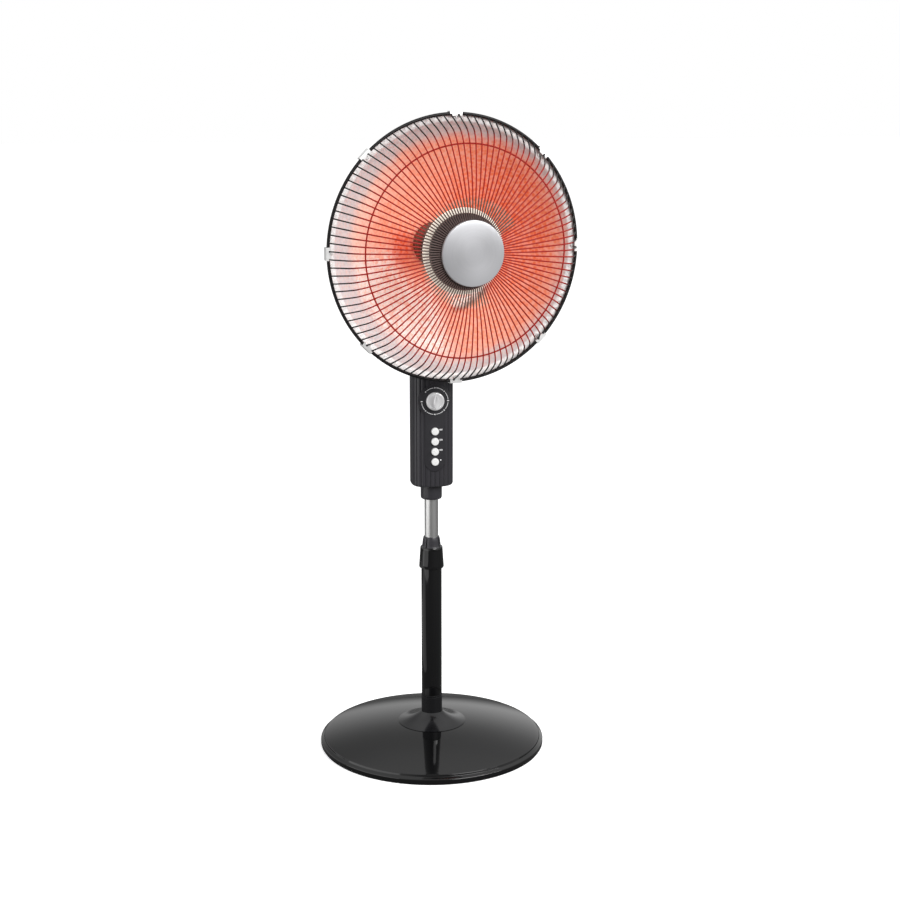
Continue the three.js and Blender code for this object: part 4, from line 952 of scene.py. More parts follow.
@dataclass(frozen=True)
class HammeredReflector(BeatenMetal):
    """The bowl's face, which throws the element's red light back at the room: that light is
    painted on it as a glow reflection in its colour, with painted highlights, a painted shade and
    a faint painted glow.
    """

    metallic: float = 0.15
    roughness: tuple[float, float] = (0.4, 0.56)
    flange: Colour = colour(250, 250, 250)
    # From here to glow the colours are painted light: the element's red glow reflected in the
    # bowl, deeper, paler and fiercer patches of it, painted highlights and a painted shade; glow
    # is a painted emission of the face's colour.
    painted_glow_tone: Colour = colour(240, 154, 124)
    pale: Colour = colour(252, 214, 196)
    deep: Colour = colour(228, 106, 66)
    bright: Colour = colour(255, 251, 246)
    fierce: Colour = colour(220, 84, 38)
    shade: Colour = colour(128, 84, 68)
    glow: float = 0.2
    drift: float = 0.03
    # The bare rim, where the painted glow gives way, reaches nearer the middle on the left side by
    # this much.
    lean: float = 0.017
    bare_band: Point2 = (0.171, 0.196)
    flange_band: Point2 = (0.2035, 0.2065)
    # Strength of the noise spots of painted glow colour over the face.
    painted_glow_ripple: float = 0.22
    # Painted patches over the glow, each with its colour, direction, reach and core in degrees,
    # inner and outer radius in metres and softness: deep, pale and fierce are painted glow
    # reflections, bright are painted highlights, shade is a painted shadow round the lowest
    # highlight.
    fans: tuple[tuple[str, float, float, float, float, float, float], ...] = (
        ("deep", 20.0, 78.0, 0.0, 0.02, 0.215, 0.05),
        ("pale", 168.0, 63.0, 0.0, 0.1, 0.21, 0.06),
        ("fierce", 182.0, 33.0, 0.0, 0.02, 0.1, 0.04),
        ("fierce", 182.0, 21.0, 0.0, 0.02, 0.075, 0.03),
        ("bright", 228.0, 56.0, 22.0, 0.05, 0.2, 0.04),
        ("bright", 240.0, 34.0, 12.0, 0.07, 0.19, 0.03),
        ("bright", 208.0, 26.0, 6.0, 0.08, 0.19, 0.04),
        ("shade", 303.0, 27.0, 10.0, 0.1, 0.122, 0.009),
        ("bright", 303.0, 27.0, 6.0, 0.04, 0.116, 0.011),
    )

    def tone(self, graph: Graph, surface: bpy.types.Node, place: Socket,
             cloud: Socket) -> Socket:
        """Bands from the bare rim to the middle with its painted glow reflection, with painted
        highlights, painted glow patches and a painted shade over them.

        Args:
            graph: the material's nodes.
            surface: the Principled shader.
            place: the object's coordinates.
            cloud: soft noise.
        Returns:
            The colour.
        """
        polar = graph.use(polar_group(), {"Place": place}).outputs
        radius, angle = polar["Radius"], polar["Angle"]
        wander = graph.maths("MULTIPLY_ADD", graph.maths("SUBTRACT", cloud, 0.5), self.drift,
                             radius)
        # Starts from the painted reflection of the element's glow, then lays the painted patches,
        # highlights and shade over it.
        tone = self.painted_glow_tone
        # Noise that breaks the painted highlights into patches.
        mottle = graph.step(graph.noise(place, 130.0, 3.0, 0.6), 0.41, 0.54, 0.25, 1.0)
        for name, direction, reach, core, inner, outer, softness in self.fans:
            fan = graph.use(wedge_group(), {
                "Angle": angle, "Radius": wander if softness > 0.02 else radius,
                "Direction": math.radians(direction), "Reach": math.radians(reach),
                "Core": math.radians(core), "Inner": inner, "Outer": outer,
                "Softness": softness}).outputs["Mask"]
            fan = graph.maths("MULTIPLY", fan, mottle) if name == "bright" else fan
            tone = graph.blend(fan, tone, getattr(self, name))
        # The bare rim without the painted glow reaches nearer the middle on the left; unlit keeps
        # the painted emission off it, less so towards the far left.
        leftward = graph.maths("MULTIPLY", graph.maths("COSINE", angle), -1.0)
        band = graph.maths("MULTIPLY_ADD", leftward, self.lean, wander)
        outside_painted_glow = graph.step(band, *self.bare_band)
        unlit = graph.maths("MULTIPLY", outside_painted_glow, graph.step(leftward, 1.0, 0.2))
        # Noise spots of the painted glow colour over the whole face.
        painted_glow_ripple = graph.step(graph.noise(place, 210.0, 2.0), 0.5, 0.68, 0.0, self.painted_glow_ripple)
        tone = graph.blend(painted_glow_ripple, graph.blend(outside_painted_glow, tone, self.bare), self.painted_glow_tone)
        tone = graph.blend(graph.step(radius, *self.flange_band), tone, self.flange)
        # The face gives off its colour as a painted glow, except on the bare rim.
        graph.join(graph.blend(unlit, tone, UNLIT),
                   surface.inputs["Emission Color"])
        surface.inputs["Emission Strength"].default_value = self.glow
        return tone


@dataclass(frozen=True)
class GlowLitEnamel(Finish):
    """The guard's black enamel, with the dark red light of the glowing bowl painted on it as
    colour and a faint painted glow.
    """

    cold: Colour = colour(22, 21, 22)
    # Painted light: a dark red for the bowl's glow on the wires, and a greyish tone near the hub
    # where the shield keeps that glow off; glow is a painted emission of the red.
    painted_glow_red: Colour = colour(146, 22, 14)
    hub: Colour = colour(92, 74, 70)
    edge_start: float = 0.18
    edge_end: float = 0.199
    hub_start: float = 0.09
    hub_end: float = 0.084
    hub_direction: float = math.radians(160.0)
    glow: float = 0.25
    grain_depth: float = 0.00005

    def draw(self, graph: Graph, surface: bpy.types.Node, place: Socket) -> None:
        """Painted red glow within the glowing field, black outside it, and a painted greyish tone
        near the hub.

        Args:
            graph: the material's nodes.
            surface: the Principled shader.
            place: the object's coordinates.
        """
        polar = graph.use(polar_group(), {"Place": place}).outputs
        radius = polar["Radius"]
        skin = graph.use(skin_group(), {"Place": place, "Grain": 700.0, "Roughness": 0.46,
                                        "Unevenness": 0.15, "Smudge": 30.0}).outputs
        # The patch near the hub, towards 160 degrees, takes the painted greyish tone; the painted
        # red glow fills the rest of the field inside the rim.
        facing = graph.maths("COSINE", graph.maths("SUBTRACT", polar["Angle"],
                                                   self.hub_direction))
        near = graph.maths("MULTIPLY", graph.step(radius, self.hub_start, self.hub_end),
                           graph.step(facing, -0.7, -0.55))
        glow_share = graph.maths("MULTIPLY", graph.step(radius, self.edge_end, self.edge_start),
                           graph.maths("SUBTRACT", 1.0, near))
        tone = graph.blend(near, graph.blend(glow_share, self.cold, self.painted_glow_red), self.hub)
        graph.join(tone, surface.inputs["Base Color"])
        graph.join(graph.blend(glow_share, UNLIT, self.painted_glow_red),
                   surface.inputs["Emission Color"])
        surface.inputs["Emission Strength"].default_value = self.glow
        surface.inputs["Specular IOR Level"].default_value = 0.25
        graph.join(skin["Roughness"], surface.inputs["Roughness"])
        self.bump(graph, surface, skin["Height"], self.grain_depth)


@dataclass(frozen=True)
class GlowingWire(Finish):
    """The resistance wire, orange where it glows and dull near its cold leads."""

    dull: Colour = colour(120, 60, 40)
    ember: Colour = colour(255, 112, 40)
    strength: float = 2.2
    rear_lead: Point2 = (-0.085, -0.065)
    front_lead: Point2 = (0.026, 0.01)

    def draw(self, graph: Graph, surface: bpy.types.Node, place: Socket) -> None:
        """Hotter and cooler stretches along the wire.

        Args:
            graph: the material's nodes.
            surface: the Principled shader.
            place: the object's coordinates.
        """
        polar = graph.use(polar_group(), {"Place": place}).outputs
        glow_share = graph.maths("MULTIPLY", graph.step(polar["Forward"], *self.rear_lead),
                           graph.step(polar["Forward"], *self.front_lead))
        flicker = graph.step(graph.noise(place, 60.0, 2.0), 0.3, 0.7, 0.75, 1.0)
        tone = graph.blend(graph.maths("MULTIPLY", glow_share, flicker), self.dull, self.ember)
        graph.join(tone, surface.inputs["Base Color"])
        graph.join(graph.blend(glow_share, UNLIT, tone), surface.inputs["Emission Color"])
        surface.inputs["Emission Strength"].default_value = self.strength
        surface.inputs["Metallic"].default_value = 0.3
        surface.inputs["Roughness"].default_value = 0.55


class Finishes:
    """Every finish of the heater."""

    ENAMEL = Coated("gloss black enamel", colour(11, 11, 12), 0.06, 0.07, 260.0, 0.00002, 9.0,
                    0.25)
    SATIN = Coated("satin black plastic", colour(52, 51, 55), 0.32, 0.12, 1500.0, 0.00007,
                   specular=0.45)
    PANEL = Coated("panel plastic", colour(42, 41, 45), 0.45, 0.12, 1300.0, 0.00008)
    SKIRT = Coated("moulded skirt", colour(17, 17, 19), 0.15, 0.1, 1300.0, 0.00003)
    MATT = Coated("matt black plastic", colour(20, 20, 22), 0.5, 0.12, 1300.0, 0.00008,
                  specular=0.2)
    RUBBER = Coated("black rubber", colour(28, 28, 28), 0.8, 0.1, 800.0, 0.0002)
    PAINT = Coated("black head paint", colour(24, 24, 25), 0.32, 0.1, 420.0, 0.00005)
    STEEL_BLACK = Coated("black sheet steel", colour(30, 27, 27), 0.4, 0.12, 500.0, 0.00004,
                         metallic=0.4)
    CAST = Coated("cast iron", colour(62, 62, 64), 0.75, 0.15, 300.0, 0.0006, metallic=0.6)
    WHITE = Coated("white plastic", colour(244, 244, 243), 0.3, 0.08, 1200.0, 0.00003, mottle=0.04)
    PRINT = Coated("white print", colour(232, 232, 233), 0.5, 0.1, 900.0, 0.00002, mottle=0.08)
    # The deflector's glow is a painted glow that lightens its cream face.
    CREAM = Coated("cream deflector", colour(255, 246, 230), 0.45, 0.12, 500.0, 0.0001,
                   mottle=0.12, glow=0.5)
    CERAMIC = Coated("pale ceramic", colour(250, 240, 224), 0.55, 0.12, 500.0, 0.0001, mottle=0.12)
    # The element's foot: ceramic painted dark brown as shade, where it lies in shadow behind the
    # parts in front of it.
    SHADED_CERAMIC = Coated("ceramic in painted shade", colour(104, 76, 62), 0.7, 0.12, 400.0, 0.0001,
                      mottle=0.4)
    CORE = Coated("dark ceramic", colour(74, 44, 34), 0.7, 0.12, 400.0, 0.0002, mottle=0.5)
    POLE_STEEL = Metal("drawn bright steel", colour(228, 228, 227), (1400.0, 1400.0, 30.0), 0.31,
                       0.1, 0.12)
    STEEL = Metal("bright steel", colour(205, 206, 208), (500.0, 500.0, 500.0), 0.24, 0.15, 0.15)
    PLATED = Metal("plated spring steel", colour(250, 250, 249), (400.0, 400.0, 400.0), 0.34,
                   0.15, 0.1, metallic=0.35)
    SPUN = SpunMetal("spun silver", colour(191, 191, 194), (2400.0, 3.0, 2400.0), 0.34, 0.16,
                     0.2, 0.00004, 0.5)
    KNOB = Metal("bright knob", colour(255, 254, 255), (60.0, 60.0, 900.0), 0.22, 0.1, 0.05,
                 0.000004, 0.3)
    BEATEN = BeatenMetal("beaten aluminium")
    REFLECTOR = HammeredReflector("hammered reflector")
    GUARD = GlowLitEnamel("black enamel with painted glow")
    COIL = GlowingWire("glowing wire")


# REPEATS AND WIRES


def repeated(graph: Graph, geometry: Any, given: Sockets) -> Socket:
    """Copies a geometry round the Z axis and makes the copies real.

    Args:
        graph: the tree's nodes.
        geometry: what is copied.
        given: the tree's inputs, with Count, Start Angle and Material.
    Returns:
        The finished geometry.
    """
    points = graph.add("GeometryNodePoints", {"Count": given["Count"]}).outputs[0]
    index = graph.add("GeometryNodeInputIndex").outputs[0]
    pitch = graph.maths("DIVIDE", TURN, given["Count"])
    angle = graph.maths("MULTIPLY_ADD", index, pitch, given["Start Angle"])
    euler = graph.add("ShaderNodeCombineXYZ", {"Z": angle}).outputs[0]
    rotation = graph.add("FunctionNodeEulerToRotation", {0: euler}).outputs[0]
    copies = graph.add("GeometryNodeInstanceOnPoints", {
        "Points": points, "Instance": geometry, "Rotation": rotation}).outputs[0]
    real = graph.add("GeometryNodeRealizeInstances", {"Geometry": copies}).outputs[0]
    return graph.add("GeometryNodeSetMaterial", {
        "Geometry": real, "Material": given["Material"]}).outputs[0]


REPEAT_INPUTS: SocketPlan = {
    "Geometry": ("NodeSocketGeometry", None), "Count": ("NodeSocketInt", 1),
    "Start Angle": (FLOAT, 0.0), "Material": ("NodeSocketMaterial", None),
}


def repeat_tree() -> Tree:
    """Geometry nodes that repeat a shape round the Z axis."""
    return node_group("Repeat round the axis", GEOMETRY_TREE, REPEAT_INPUTS,
                      {"Geometry": "NodeSocketGeometry"},
                      lambda graph, given: {
                          "Geometry": repeated(graph, given["Geometry"], given)})


def wire_tree() -> Tree:
    """Geometry nodes that draw a line as a round wire and repeat it round the Z axis."""
    def draw(graph: Graph, given: Sockets) -> dict[str, Any]:
        """Sweeps a circle along the line."""
        line = graph.add("GeometryNodeMeshToCurve", {"Mesh": given["Geometry"]}).outputs[0]
        ring = graph.add("GeometryNodeCurvePrimitiveCircle", {
            "Resolution": given["Sides"], "Radius": given["Wire Radius"]}).outputs[0]
        wire = graph.add("GeometryNodeCurveToMesh", {
            "Curve": line, "Profile Curve": ring, "Fill Caps": True}).outputs[0]
        return {"Geometry": repeated(graph, wire, given)}
    return node_group("Round wires", GEOMETRY_TREE, {
        **REPEAT_INPUTS, "Wire Radius": (FLOAT, 1.0), "Sides": ("NodeSocketInt", 8),
    }, {"Geometry": "NodeSocketGeometry"}, draw)


def scatter_tree() -> Tree:
    """Geometry nodes that stand one shape on each point of another."""
    def draw(graph: Graph, given: Sockets) -> dict[str, Any]:
        """Stands the shape on the points."""
        shape = graph.add("GeometryNodeObjectInfo", {"Object": given["Shape"]}).outputs["Geometry"]
        copies = graph.add("GeometryNodeInstanceOnPoints", {
            "Points": given["Geometry"], "Instance": shape}).outputs[0]
        real = graph.add("GeometryNodeRealizeInstances", {"Geometry": copies}).outputs[0]
        return {"Geometry": graph.add("GeometryNodeSetMaterial", {
            "Geometry": real, "Material": given["Material"]}).outputs[0]}
    return node_group("Stand on points", GEOMETRY_TREE, {
        "Geometry": ("NodeSocketGeometry", None), "Shape": ("NodeSocketObject", None),
        "Material": ("NodeSocketMaterial", None),
    }, {"Geometry": "NodeSocketGeometry"}, draw)


def grown(tree: Tree, mesh: bpy.types.Mesh, values: dict[str, Any]) -> Form:
    """What a geometry tree makes of a mesh.

    Args:
        tree: the tree.
        mesh: the mesh that it starts from.
        values: its inputs, by name.
    Returns:
        The shape that comes out.
    """
    work = bpy.data.objects.new("grown", mesh)
    bpy.context.scene.collection.objects.link(work)
    modifier = work.modifiers.new("grown", "NODES")
    modifier.node_group = tree
    names = {item.name: item.identifier for item in tree.interface.items_tree
             if item.in_out == "INPUT"}
    for name, value in values.items():
        modifier[names[name]] = value
    result = evaluated_mesh(work)
    bpy.data.objects.remove(work)
    form = Form.from_mesh(result)
    bpy.data.meshes.remove(result)
    return form


def ring_of(form: Form, count: int, start: float, material: bpy.types.Material) -> Form:
    """A shape repeated round the Z axis.

    Args:
        form: the shape.
        count: how many there are.
        start: angle of the first.
        material: their finish.
    Returns:
        All of them.
    """
    return grown(repeat_tree(), form.to_mesh("unit"),
                 {"Count": count, "Start Angle": start, "Material": material})


def wires(line: Sequence[Sequence[float]], radius: float, sides: int,
          material: bpy.types.Material, count: int = 1, closed: bool = False,
          start: float = 0.0) -> Form:
    """A line drawn as a round wire, and repeated round the Z axis.

    Args:
        line: the line's points.
        radius: the wire's radius.
        sides: points round the wire.
        material: its finish.
        count: how many there are.
        closed: joins the line's ends.
        start: angle of the first.
    Returns:
        The wires.
    """
    mesh = bpy.data.meshes.new("line")
    edges = [(i, i + 1) for i in range(len(line) - 1)]
    if closed:
        edges.append((len(line) - 1, 0))
    mesh.from_pydata([Vector(point) for point in line], edges, [])
    return grown(wire_tree(), mesh, {"Count": count, "Start Angle": start, "Material": material,
                                     "Wire Radius": radius, "Sides": sides})


def cross_screw(radius: float, height: float) -> Form:
    """A pan-head screw with a cross recess, drawn from its seat upwards.

    Args:
        radius: radius of its head.
        height: height of its head.
    Returns:
        The screw's head with a short shank below it.
    """
    head = turned(softened([(0, -1.0), (0.5 * radius, -1.0), (0.5 * radius, 0.0), (radius, 0.0),
                            (radius, height, 0.6 * height), (0.35 * radius, height), (0, height)]),
                  32)
    bar = slab(rounded_box(0.58 * radius, 0.13 * radius, 0.06 * radius, 2), 0.45 * height,
               height + 1.0)
    return carved(head, (Carving.CUT, bar),
                  (Carving.CUT, bar.placed(Matrix.Rotation(RIGHT_ANGLE, 4, "Z"))))


def hexagon(radius: float, bottom: float, top: float) -> Form:
    """A hexagonal nut or head with chamfered corners.

    Args:
        radius: radius over its corners.
        bottom: level of its underside.
        top: level of its upper side.
    Returns:
        The nut, without a hole.
    """
    prism = slab(circle(radius, 6), bottom, top, 0.15, 2)
    dome = turned(softened([(0, bottom), (radius, bottom), (1.02 * radius, top - 0.25 * radius),
                            (0.84 * radius, top), (0, top)]), 48)
    return carved(prism, (Carving.KEEP, dome))


# STAND


@dataclass(frozen=True)
class Stand:
    """The weighted base, its skirt and socket, the outer pole and its collet."""

    pad_radius: float = 198.0
    shell_radius: float = 199.5
    shell_wall: float = 2.5
    shoulder_radius: float = 193.0
    dome_rise: float = 25.0
    bevel_drop: float = 2.8
    hole_radius: float = 14.3
    socket_stem: float = 14.0
    socket_flange: float = 21.0
    socket_radius: float = 18.4
    socket_groove: float = 0.5
    skirt_rim: float = 60.0
    skirt_neck: float = 18.7
    skirt_height: float = 19.5
    skirt_wall: float = 1.8
    pole_radius: float = 18.0
    pole_bore: float = 16.5
    collet_bore: float = 12.4
    collet_tip: float = 13.8
    collet_slot: float = 2.4

    def dome(self, radius: float) -> float:
        """Height of the base's top at a radius."""
        return LEVELS.shell_shoulder + self.dome_rise * (1 - (radius / self.shoulder_radius) ** 2)

    def build(self) -> None:
        """Builds and dresses every piece of the stand."""
        self.base()
        self.skirt()
        self.pole()
        self.hidden()

    def base(self) -> None:
        """The rubber pad and the domed steel shell."""
        pad = turned(softened([(0, 0), (self.pad_radius, 0, 0.5),
                               (self.pad_radius, LEVELS.pad_top, 0.5), (0, LEVELS.pad_top)]), 144)
        add_piece("base_pad", pad, UPRIGHT, Finishes.RUBBER.material(), Body.STAND.value,
                  ["floor_pad"])
        top = [(r, self.dome(r)) for r in (185, 172, 158, 143, 128, 112, 96, 80, 64, 48, 32, 22,
                                           self.hole_radius)]
        outside = [(self.shell_radius, LEVELS.shell_bottom, 0.6),
                   (self.shell_radius, LEVELS.shell_edge - self.bevel_drop, 1.6),
                   (self.shoulder_radius + 0.6, LEVELS.shell_edge + 0.1, 0.6),
                   (self.shoulder_radius - 0.4, LEVELS.shell_shoulder - 0.1, 0.9), *top]
        inner = self.shell_radius - self.shell_wall
        inside = [(r, z - self.shell_wall) for r, z in reversed(top)]
        outline = softened([*outside, *inside,
                            (self.shoulder_radius - 3, LEVELS.shell_shoulder - self.shell_wall),
                            (inner, LEVELS.shell_edge - self.bevel_drop - self.shell_wall),
                            (inner, LEVELS.shell_bottom)], 5)
        add_piece("base_dome", turned(outline, 192), UPRIGHT, Finishes.ENAMEL.material(),
                  Body.STAND.value, ["base_shell"])

    def skirt(self) -> None:
        """The flared moulding round the socket, and the socket itself."""
        rim_level = self.dome(self.skirt_rim) + 0.3
        neck_level = rim_level + self.skirt_height

        def flare(shift: float) -> list[Point2]:
            """The hollow curve from the rim up to the neck, moved inwards."""
            start = Vector((self.skirt_rim - 2 * shift, rim_level + 0.3))
            bend = Vector((self.skirt_neck + 0.36 * (self.skirt_rim - self.skirt_neck) - shift,
                           rim_level + 0.28 * self.skirt_height - shift / 2))
            end = Vector((self.skirt_neck + self.skirt_wall - shift, neck_level))
            line = [start.lerp(bend, k / 16).lerp(bend.lerp(end, k / 16), k / 16)
                    for k in range(17)]
            return [(point.x, point.y) for point in line]
        outline = [*flare(0.0), *reversed(flare(self.skirt_wall))]
        add_piece("pole_skirt", turned(outline, 112), UPRIGHT, Finishes.SKIRT.material(),
                  Body.STAND.value, ["base_skirt"])
        bottom, flange, top = (LEVELS.socket_flange_bottom, LEVELS.socket_flange_top,
                               LEVELS.socket_top)
        groove = top - 3
        socket = turned(softened([
            (0, bottom - 14), (self.socket_stem, bottom - 14), (self.socket_stem, bottom),
            (self.socket_flange, bottom), (self.socket_flange, flange, 0.8),
            (self.socket_radius, flange), (self.socket_radius, groove - 1),
            (self.socket_radius - self.socket_groove, groove - 0.5),
            (self.socket_radius - self.socket_groove, groove + 0.5),
            (self.socket_radius, groove + 1), (self.socket_radius, top, 0.6), (16.2, top),
            (16.2, top + 35), (0, top + 35)]), 96)
        add_piece("pole_foot", socket, UPRIGHT, Finishes.MATT.material(), Body.STAND.value,
                  ["pole_socket"])

    def pole(self) -> None:
        """The enamelled tube and the collet in its top, whose cone has four slots."""
        tube = turned(softened([(self.pole_bore, LEVELS.outer_pole_bottom),
                                (self.pole_radius, LEVELS.outer_pole_bottom, 0.4),
                                (self.pole_radius, LEVELS.outer_pole_top, 0.4),
                                (self.pole_bore, LEVELS.outer_pole_top)]), 96)
        add_piece("lower_tube", tube, UPRIGHT, Finishes.ENAMEL.material(), Body.STAND.value,
                  ["outer_pole"])
        collet = turned(softened([
            (self.collet_bore, LEVELS.outer_pole_top - 22), (16.2, LEVELS.outer_pole_top - 22),
            (16.2, LEVELS.collet_flange), (self.pole_radius, LEVELS.collet_flange),
            (self.pole_radius, LEVELS.lock_nut_top, 0.8), (16.4, LEVELS.lock_nut_top + 1.2, 0.8),
            (15.3, LEVELS.collet_top - 6, 2), (self.collet_tip, LEVELS.collet_top, 0.8),
            (self.collet_bore, LEVELS.collet_top)]), 96)
        gap = slab(rounded_box(self.pole_radius + 2, self.collet_slot / 2, 0.3, 2),
                   LEVELS.lock_nut_top, LEVELS.collet_top + 1)
        cuts = [(Carving.CUT, gap.placed(Matrix.Rotation(math.radians(a), 4, "Z")))
                for a in (45, 135)]
        add_piece("pole_collet_grip", carved(collet, *cuts), UPRIGHT, Finishes.SATIN.material(),
                  Body.STAND.value, ["pole_collet"])

    def hidden(self) -> None:
        """Finishes for the parts under the shell."""
        coat("base_plate", Finishes.STEEL_BLACK)
        coat("base_weight", Finishes.CAST)
        coat("pole_bolt", Finishes.STEEL)


def coat(node: str, finish: Finish) -> None:
    """Gives a CAD node that stays a better finish.

    Args:
        node: the node's name.
        finish: its finish.
    """
    obj = frame["nodes"][node]
    for place in obj.material_slots:
        place.material = finish.material()


@dataclass(frozen=True)
class LockNut:
    """The gripped nut that clamps the height."""

    bore: float = 18.4
    lower_radius: float = 21.9
    upper_radius: float = 19.6
    grips: int = 8
    grip_radius: float = 5.0
    grip_depth: float = 0.8

    def gripped(self, radius: float, angle: float) -> float:
        """Radius at an angle, less the grip grooves.

        Args:
            radius: radius without the grooves.
            angle: its angle.
        Returns:
            The radius with them.
        """
        if radius < self.bore + 0.2:
            return radius
        centre = self.lower_radius + self.grip_radius - self.grip_depth
        pitch = TURN / self.grips
        off = (angle % pitch) - pitch / 2
        across = centre * math.sin(off)
        if abs(across) >= self.grip_radius:
            return radius
        return min(radius, centre * math.cos(off)
                   - math.sqrt(self.grip_radius ** 2 - across ** 2))

    def build(self) -> None:
        """Builds and dresses the nut."""
        bottom, top = LEVELS.lock_nut_bottom, LEVELS.lock_nut_top
        side = [(self.lower_radius + (self.upper_radius - self.lower_radius) * k / 8,
                 bottom + 1.5 + (top - bottom - 3) * k / 8) for k in range(9)]
        outline = softened([(self.bore, bottom), (self.lower_radius - 0.8, bottom, 0.4), *side,
                            (self.upper_radius - 0.8, top, 0.4), (self.bore, top)], 3)
        nut = turned(outline, 160, self.gripped)
        add_piece("height_nut", nut, UPRIGHT, Finishes.ENAMEL.material(), Body.LOCK_NUT.value,
                  ["height_lock_nut"], crease=50.0)


# COLUMN


@dataclass(frozen=True)
class Column:
    """The telescopic tube, its collar and the reeded housing with its control panel."""

    tube_radius: float = 12.0
    tube_bore: float = 10.8
    collar_radius: float = 18.7
    collar_rounding: float = 5.0
    half_width: float = 36.65
    half_depth: float = 31.0
    squareness: float = 3.0
    corner_radius: float = 4.6
    edge_radius: float = 2.2
    wall: float = 2.8
    reed_pitch: float = 8.5
    reed_depth: float = 1.5
    reed_samples: int = 8
    rear_samples: int = 72
    seam: float = 0.15
    lip: tuple[float, float] = (1.0, 3.0)
    panel_front: float = 30.6
    panel_thickness: float = 2.0
    panel_half_width: float = 17.5
    dial_radius: float = 28.5
    dial_boss_back: float = 12.0
    button_hole: float = 6.9
    screw_low: float = 515.26
    screw_high: float = 657.96
    screw_side: float = 25.5
    screw_plane: float = 23.0
    gland_level: float = 539.26

    def build(self) -> None:
        """Builds and dresses every piece of the column."""
        self.tube()
        self.housing()
        self.panel()
        self.fixings()
        self.hidden()

    def plan(self, half_width: float, half_depth: float, count: int,
             start: float, end: float) -> list[tuple[Vector, Vector]]:
        """Points along the rounded-square plan, evenly spaced, with the direction that faces out.

        Args:
            half_width: half the plan's width.
            half_depth: half its depth.
            count: parts between the first and the last point.
            start: angle of the first point.
            end: angle of the last.
        Returns:
            Each point with its outward direction.
        """
        bend = 2 / self.squareness
        fine = 24 * count
        samples = []
        for i in range(fine + 1):
            angle = start + (end - start) * i / fine
            c, s = math.cos(angle), math.sin(angle)
            samples.append(Vector((half_width * math.copysign(abs(c) ** bend, c),
                                   half_depth * math.copysign(abs(s) ** bend, s))))
        travelled = [0.0]
        for first, second in zip(samples, samples[1:]):
            travelled.append(travelled[-1] + (second - first).length)
        points, at = [], 0
        for i in range(count + 1):
            wanted = travelled[-1] * i / count
            while at < fine - 1 and travelled[at + 1] < wanted:
                at += 1
            share = (wanted - travelled[at]) / max(travelled[at + 1] - travelled[at], TINY)
            along = (samples[at + 1] - samples[at]).normalized()
            points.append((samples[at].lerp(samples[at + 1], min(share, 1.0)),
                           Vector((along.y, -along.x))))
        return points

    def front_plan(self) -> list[Vector]:
        """The reeded front, from the left seam round to the right one."""
        length = self.length_of(self.plan(self.half_width, self.half_depth, 64, math.pi, TURN))
        reeds = 2 * round(length / self.reed_pitch / 2)
        points = self.plan(self.half_width, self.half_depth, reeds * self.reed_samples,
                           math.pi, TURN)
        line = []
        for i, (point, out) in enumerate(points):
            share = (i % self.reed_samples) / self.reed_samples
            crest = math.sqrt(max(1 - (2 * share - 1) ** 2, 0.0))
            line.append(point + out * self.reed_depth * (crest ** 0.8 - 1))
        return line

    @staticmethod
    def length_of(points: Sequence[tuple[Vector, Vector]]) -> float:
        """Length along some points."""
        return sum((b[0] - a[0]).length for a, b in zip(points, points[1:]))

    def shell(self, line: Sequence[Vector], side: int) -> Form:
        """One half of the housing as a solid, rounded at its top and bottom.

        Args:
            line: its plan, from seam to seam.
            side: -1 for the front and 1 for the rear.
        Returns:
            The solid.
        """
        limit = min if side < 0 else max
        height = LEVELS.column_top - LEVELS.column_bottom
        rises = [0.0, 0.15, 0.5, 1.1, 1.8, 2.6, 3.6, self.corner_radius]
        rises = [*rises, *(height - rise for rise in reversed(rises))]
        loops = []
        for rise in rises:
            near = min(rise, height - rise)
            width = self.rounding(near, self.corner_radius, self.half_width)
            depth = self.rounding(near, self.edge_radius, self.half_depth)
            loops.append([(point.x * width, limit(point.y * depth, side * self.seam),
                           LEVELS.column_bottom + rise) for point in line])
        return lofted(loops)

    @staticmethod
    def rounding(rise: float, radius: float, reach: float) -> float:
        """Share of a reach that is left near a rounded end.

        Args:
            rise: distance from the end.
            radius: radius of the rounding.
            reach: the full reach.
        Returns:
            The share.
        """
        if rise >= radius:
            return 1.0
        return 1 - (radius - math.sqrt(radius ** 2 - (radius - rise) ** 2)) / reach

    def cavity(self) -> Form:
        """The hollow inside both halves."""
        loop = [point for point, _ in self.plan(self.half_width - self.reed_depth - self.wall,
                                                self.half_depth - self.reed_depth - self.wall,
                                                48, 0, TURN)[:-1]]
        return lofted([[(p.x, p.y, z) for p in loop]
                       for z in (LEVELS.column_bottom + self.wall, LEVELS.column_top - self.wall)])

    def panel_outline(self, margin: float) -> list[Point2]:
        """The control panel's keyhole outline, drawn round the dial's centre.

        Args:
            margin: how much larger it is all round.
        Returns:
            The outline, counterclockwise.
        """
        radius, half = self.dial_radius + margin, self.panel_half_width + margin
        low = LEVELS.buttons[-1] - LEVELS.dial
        meet = math.asin(half / radius)
        top = arc((0.0, 0.0), radius, meet - RIGHT_ANGLE, TURN - RIGHT_ANGLE - meet, 56)
        bottom = arc((0.0, low), half, math.pi, TURN, 24)
        return [*top, *bottom]

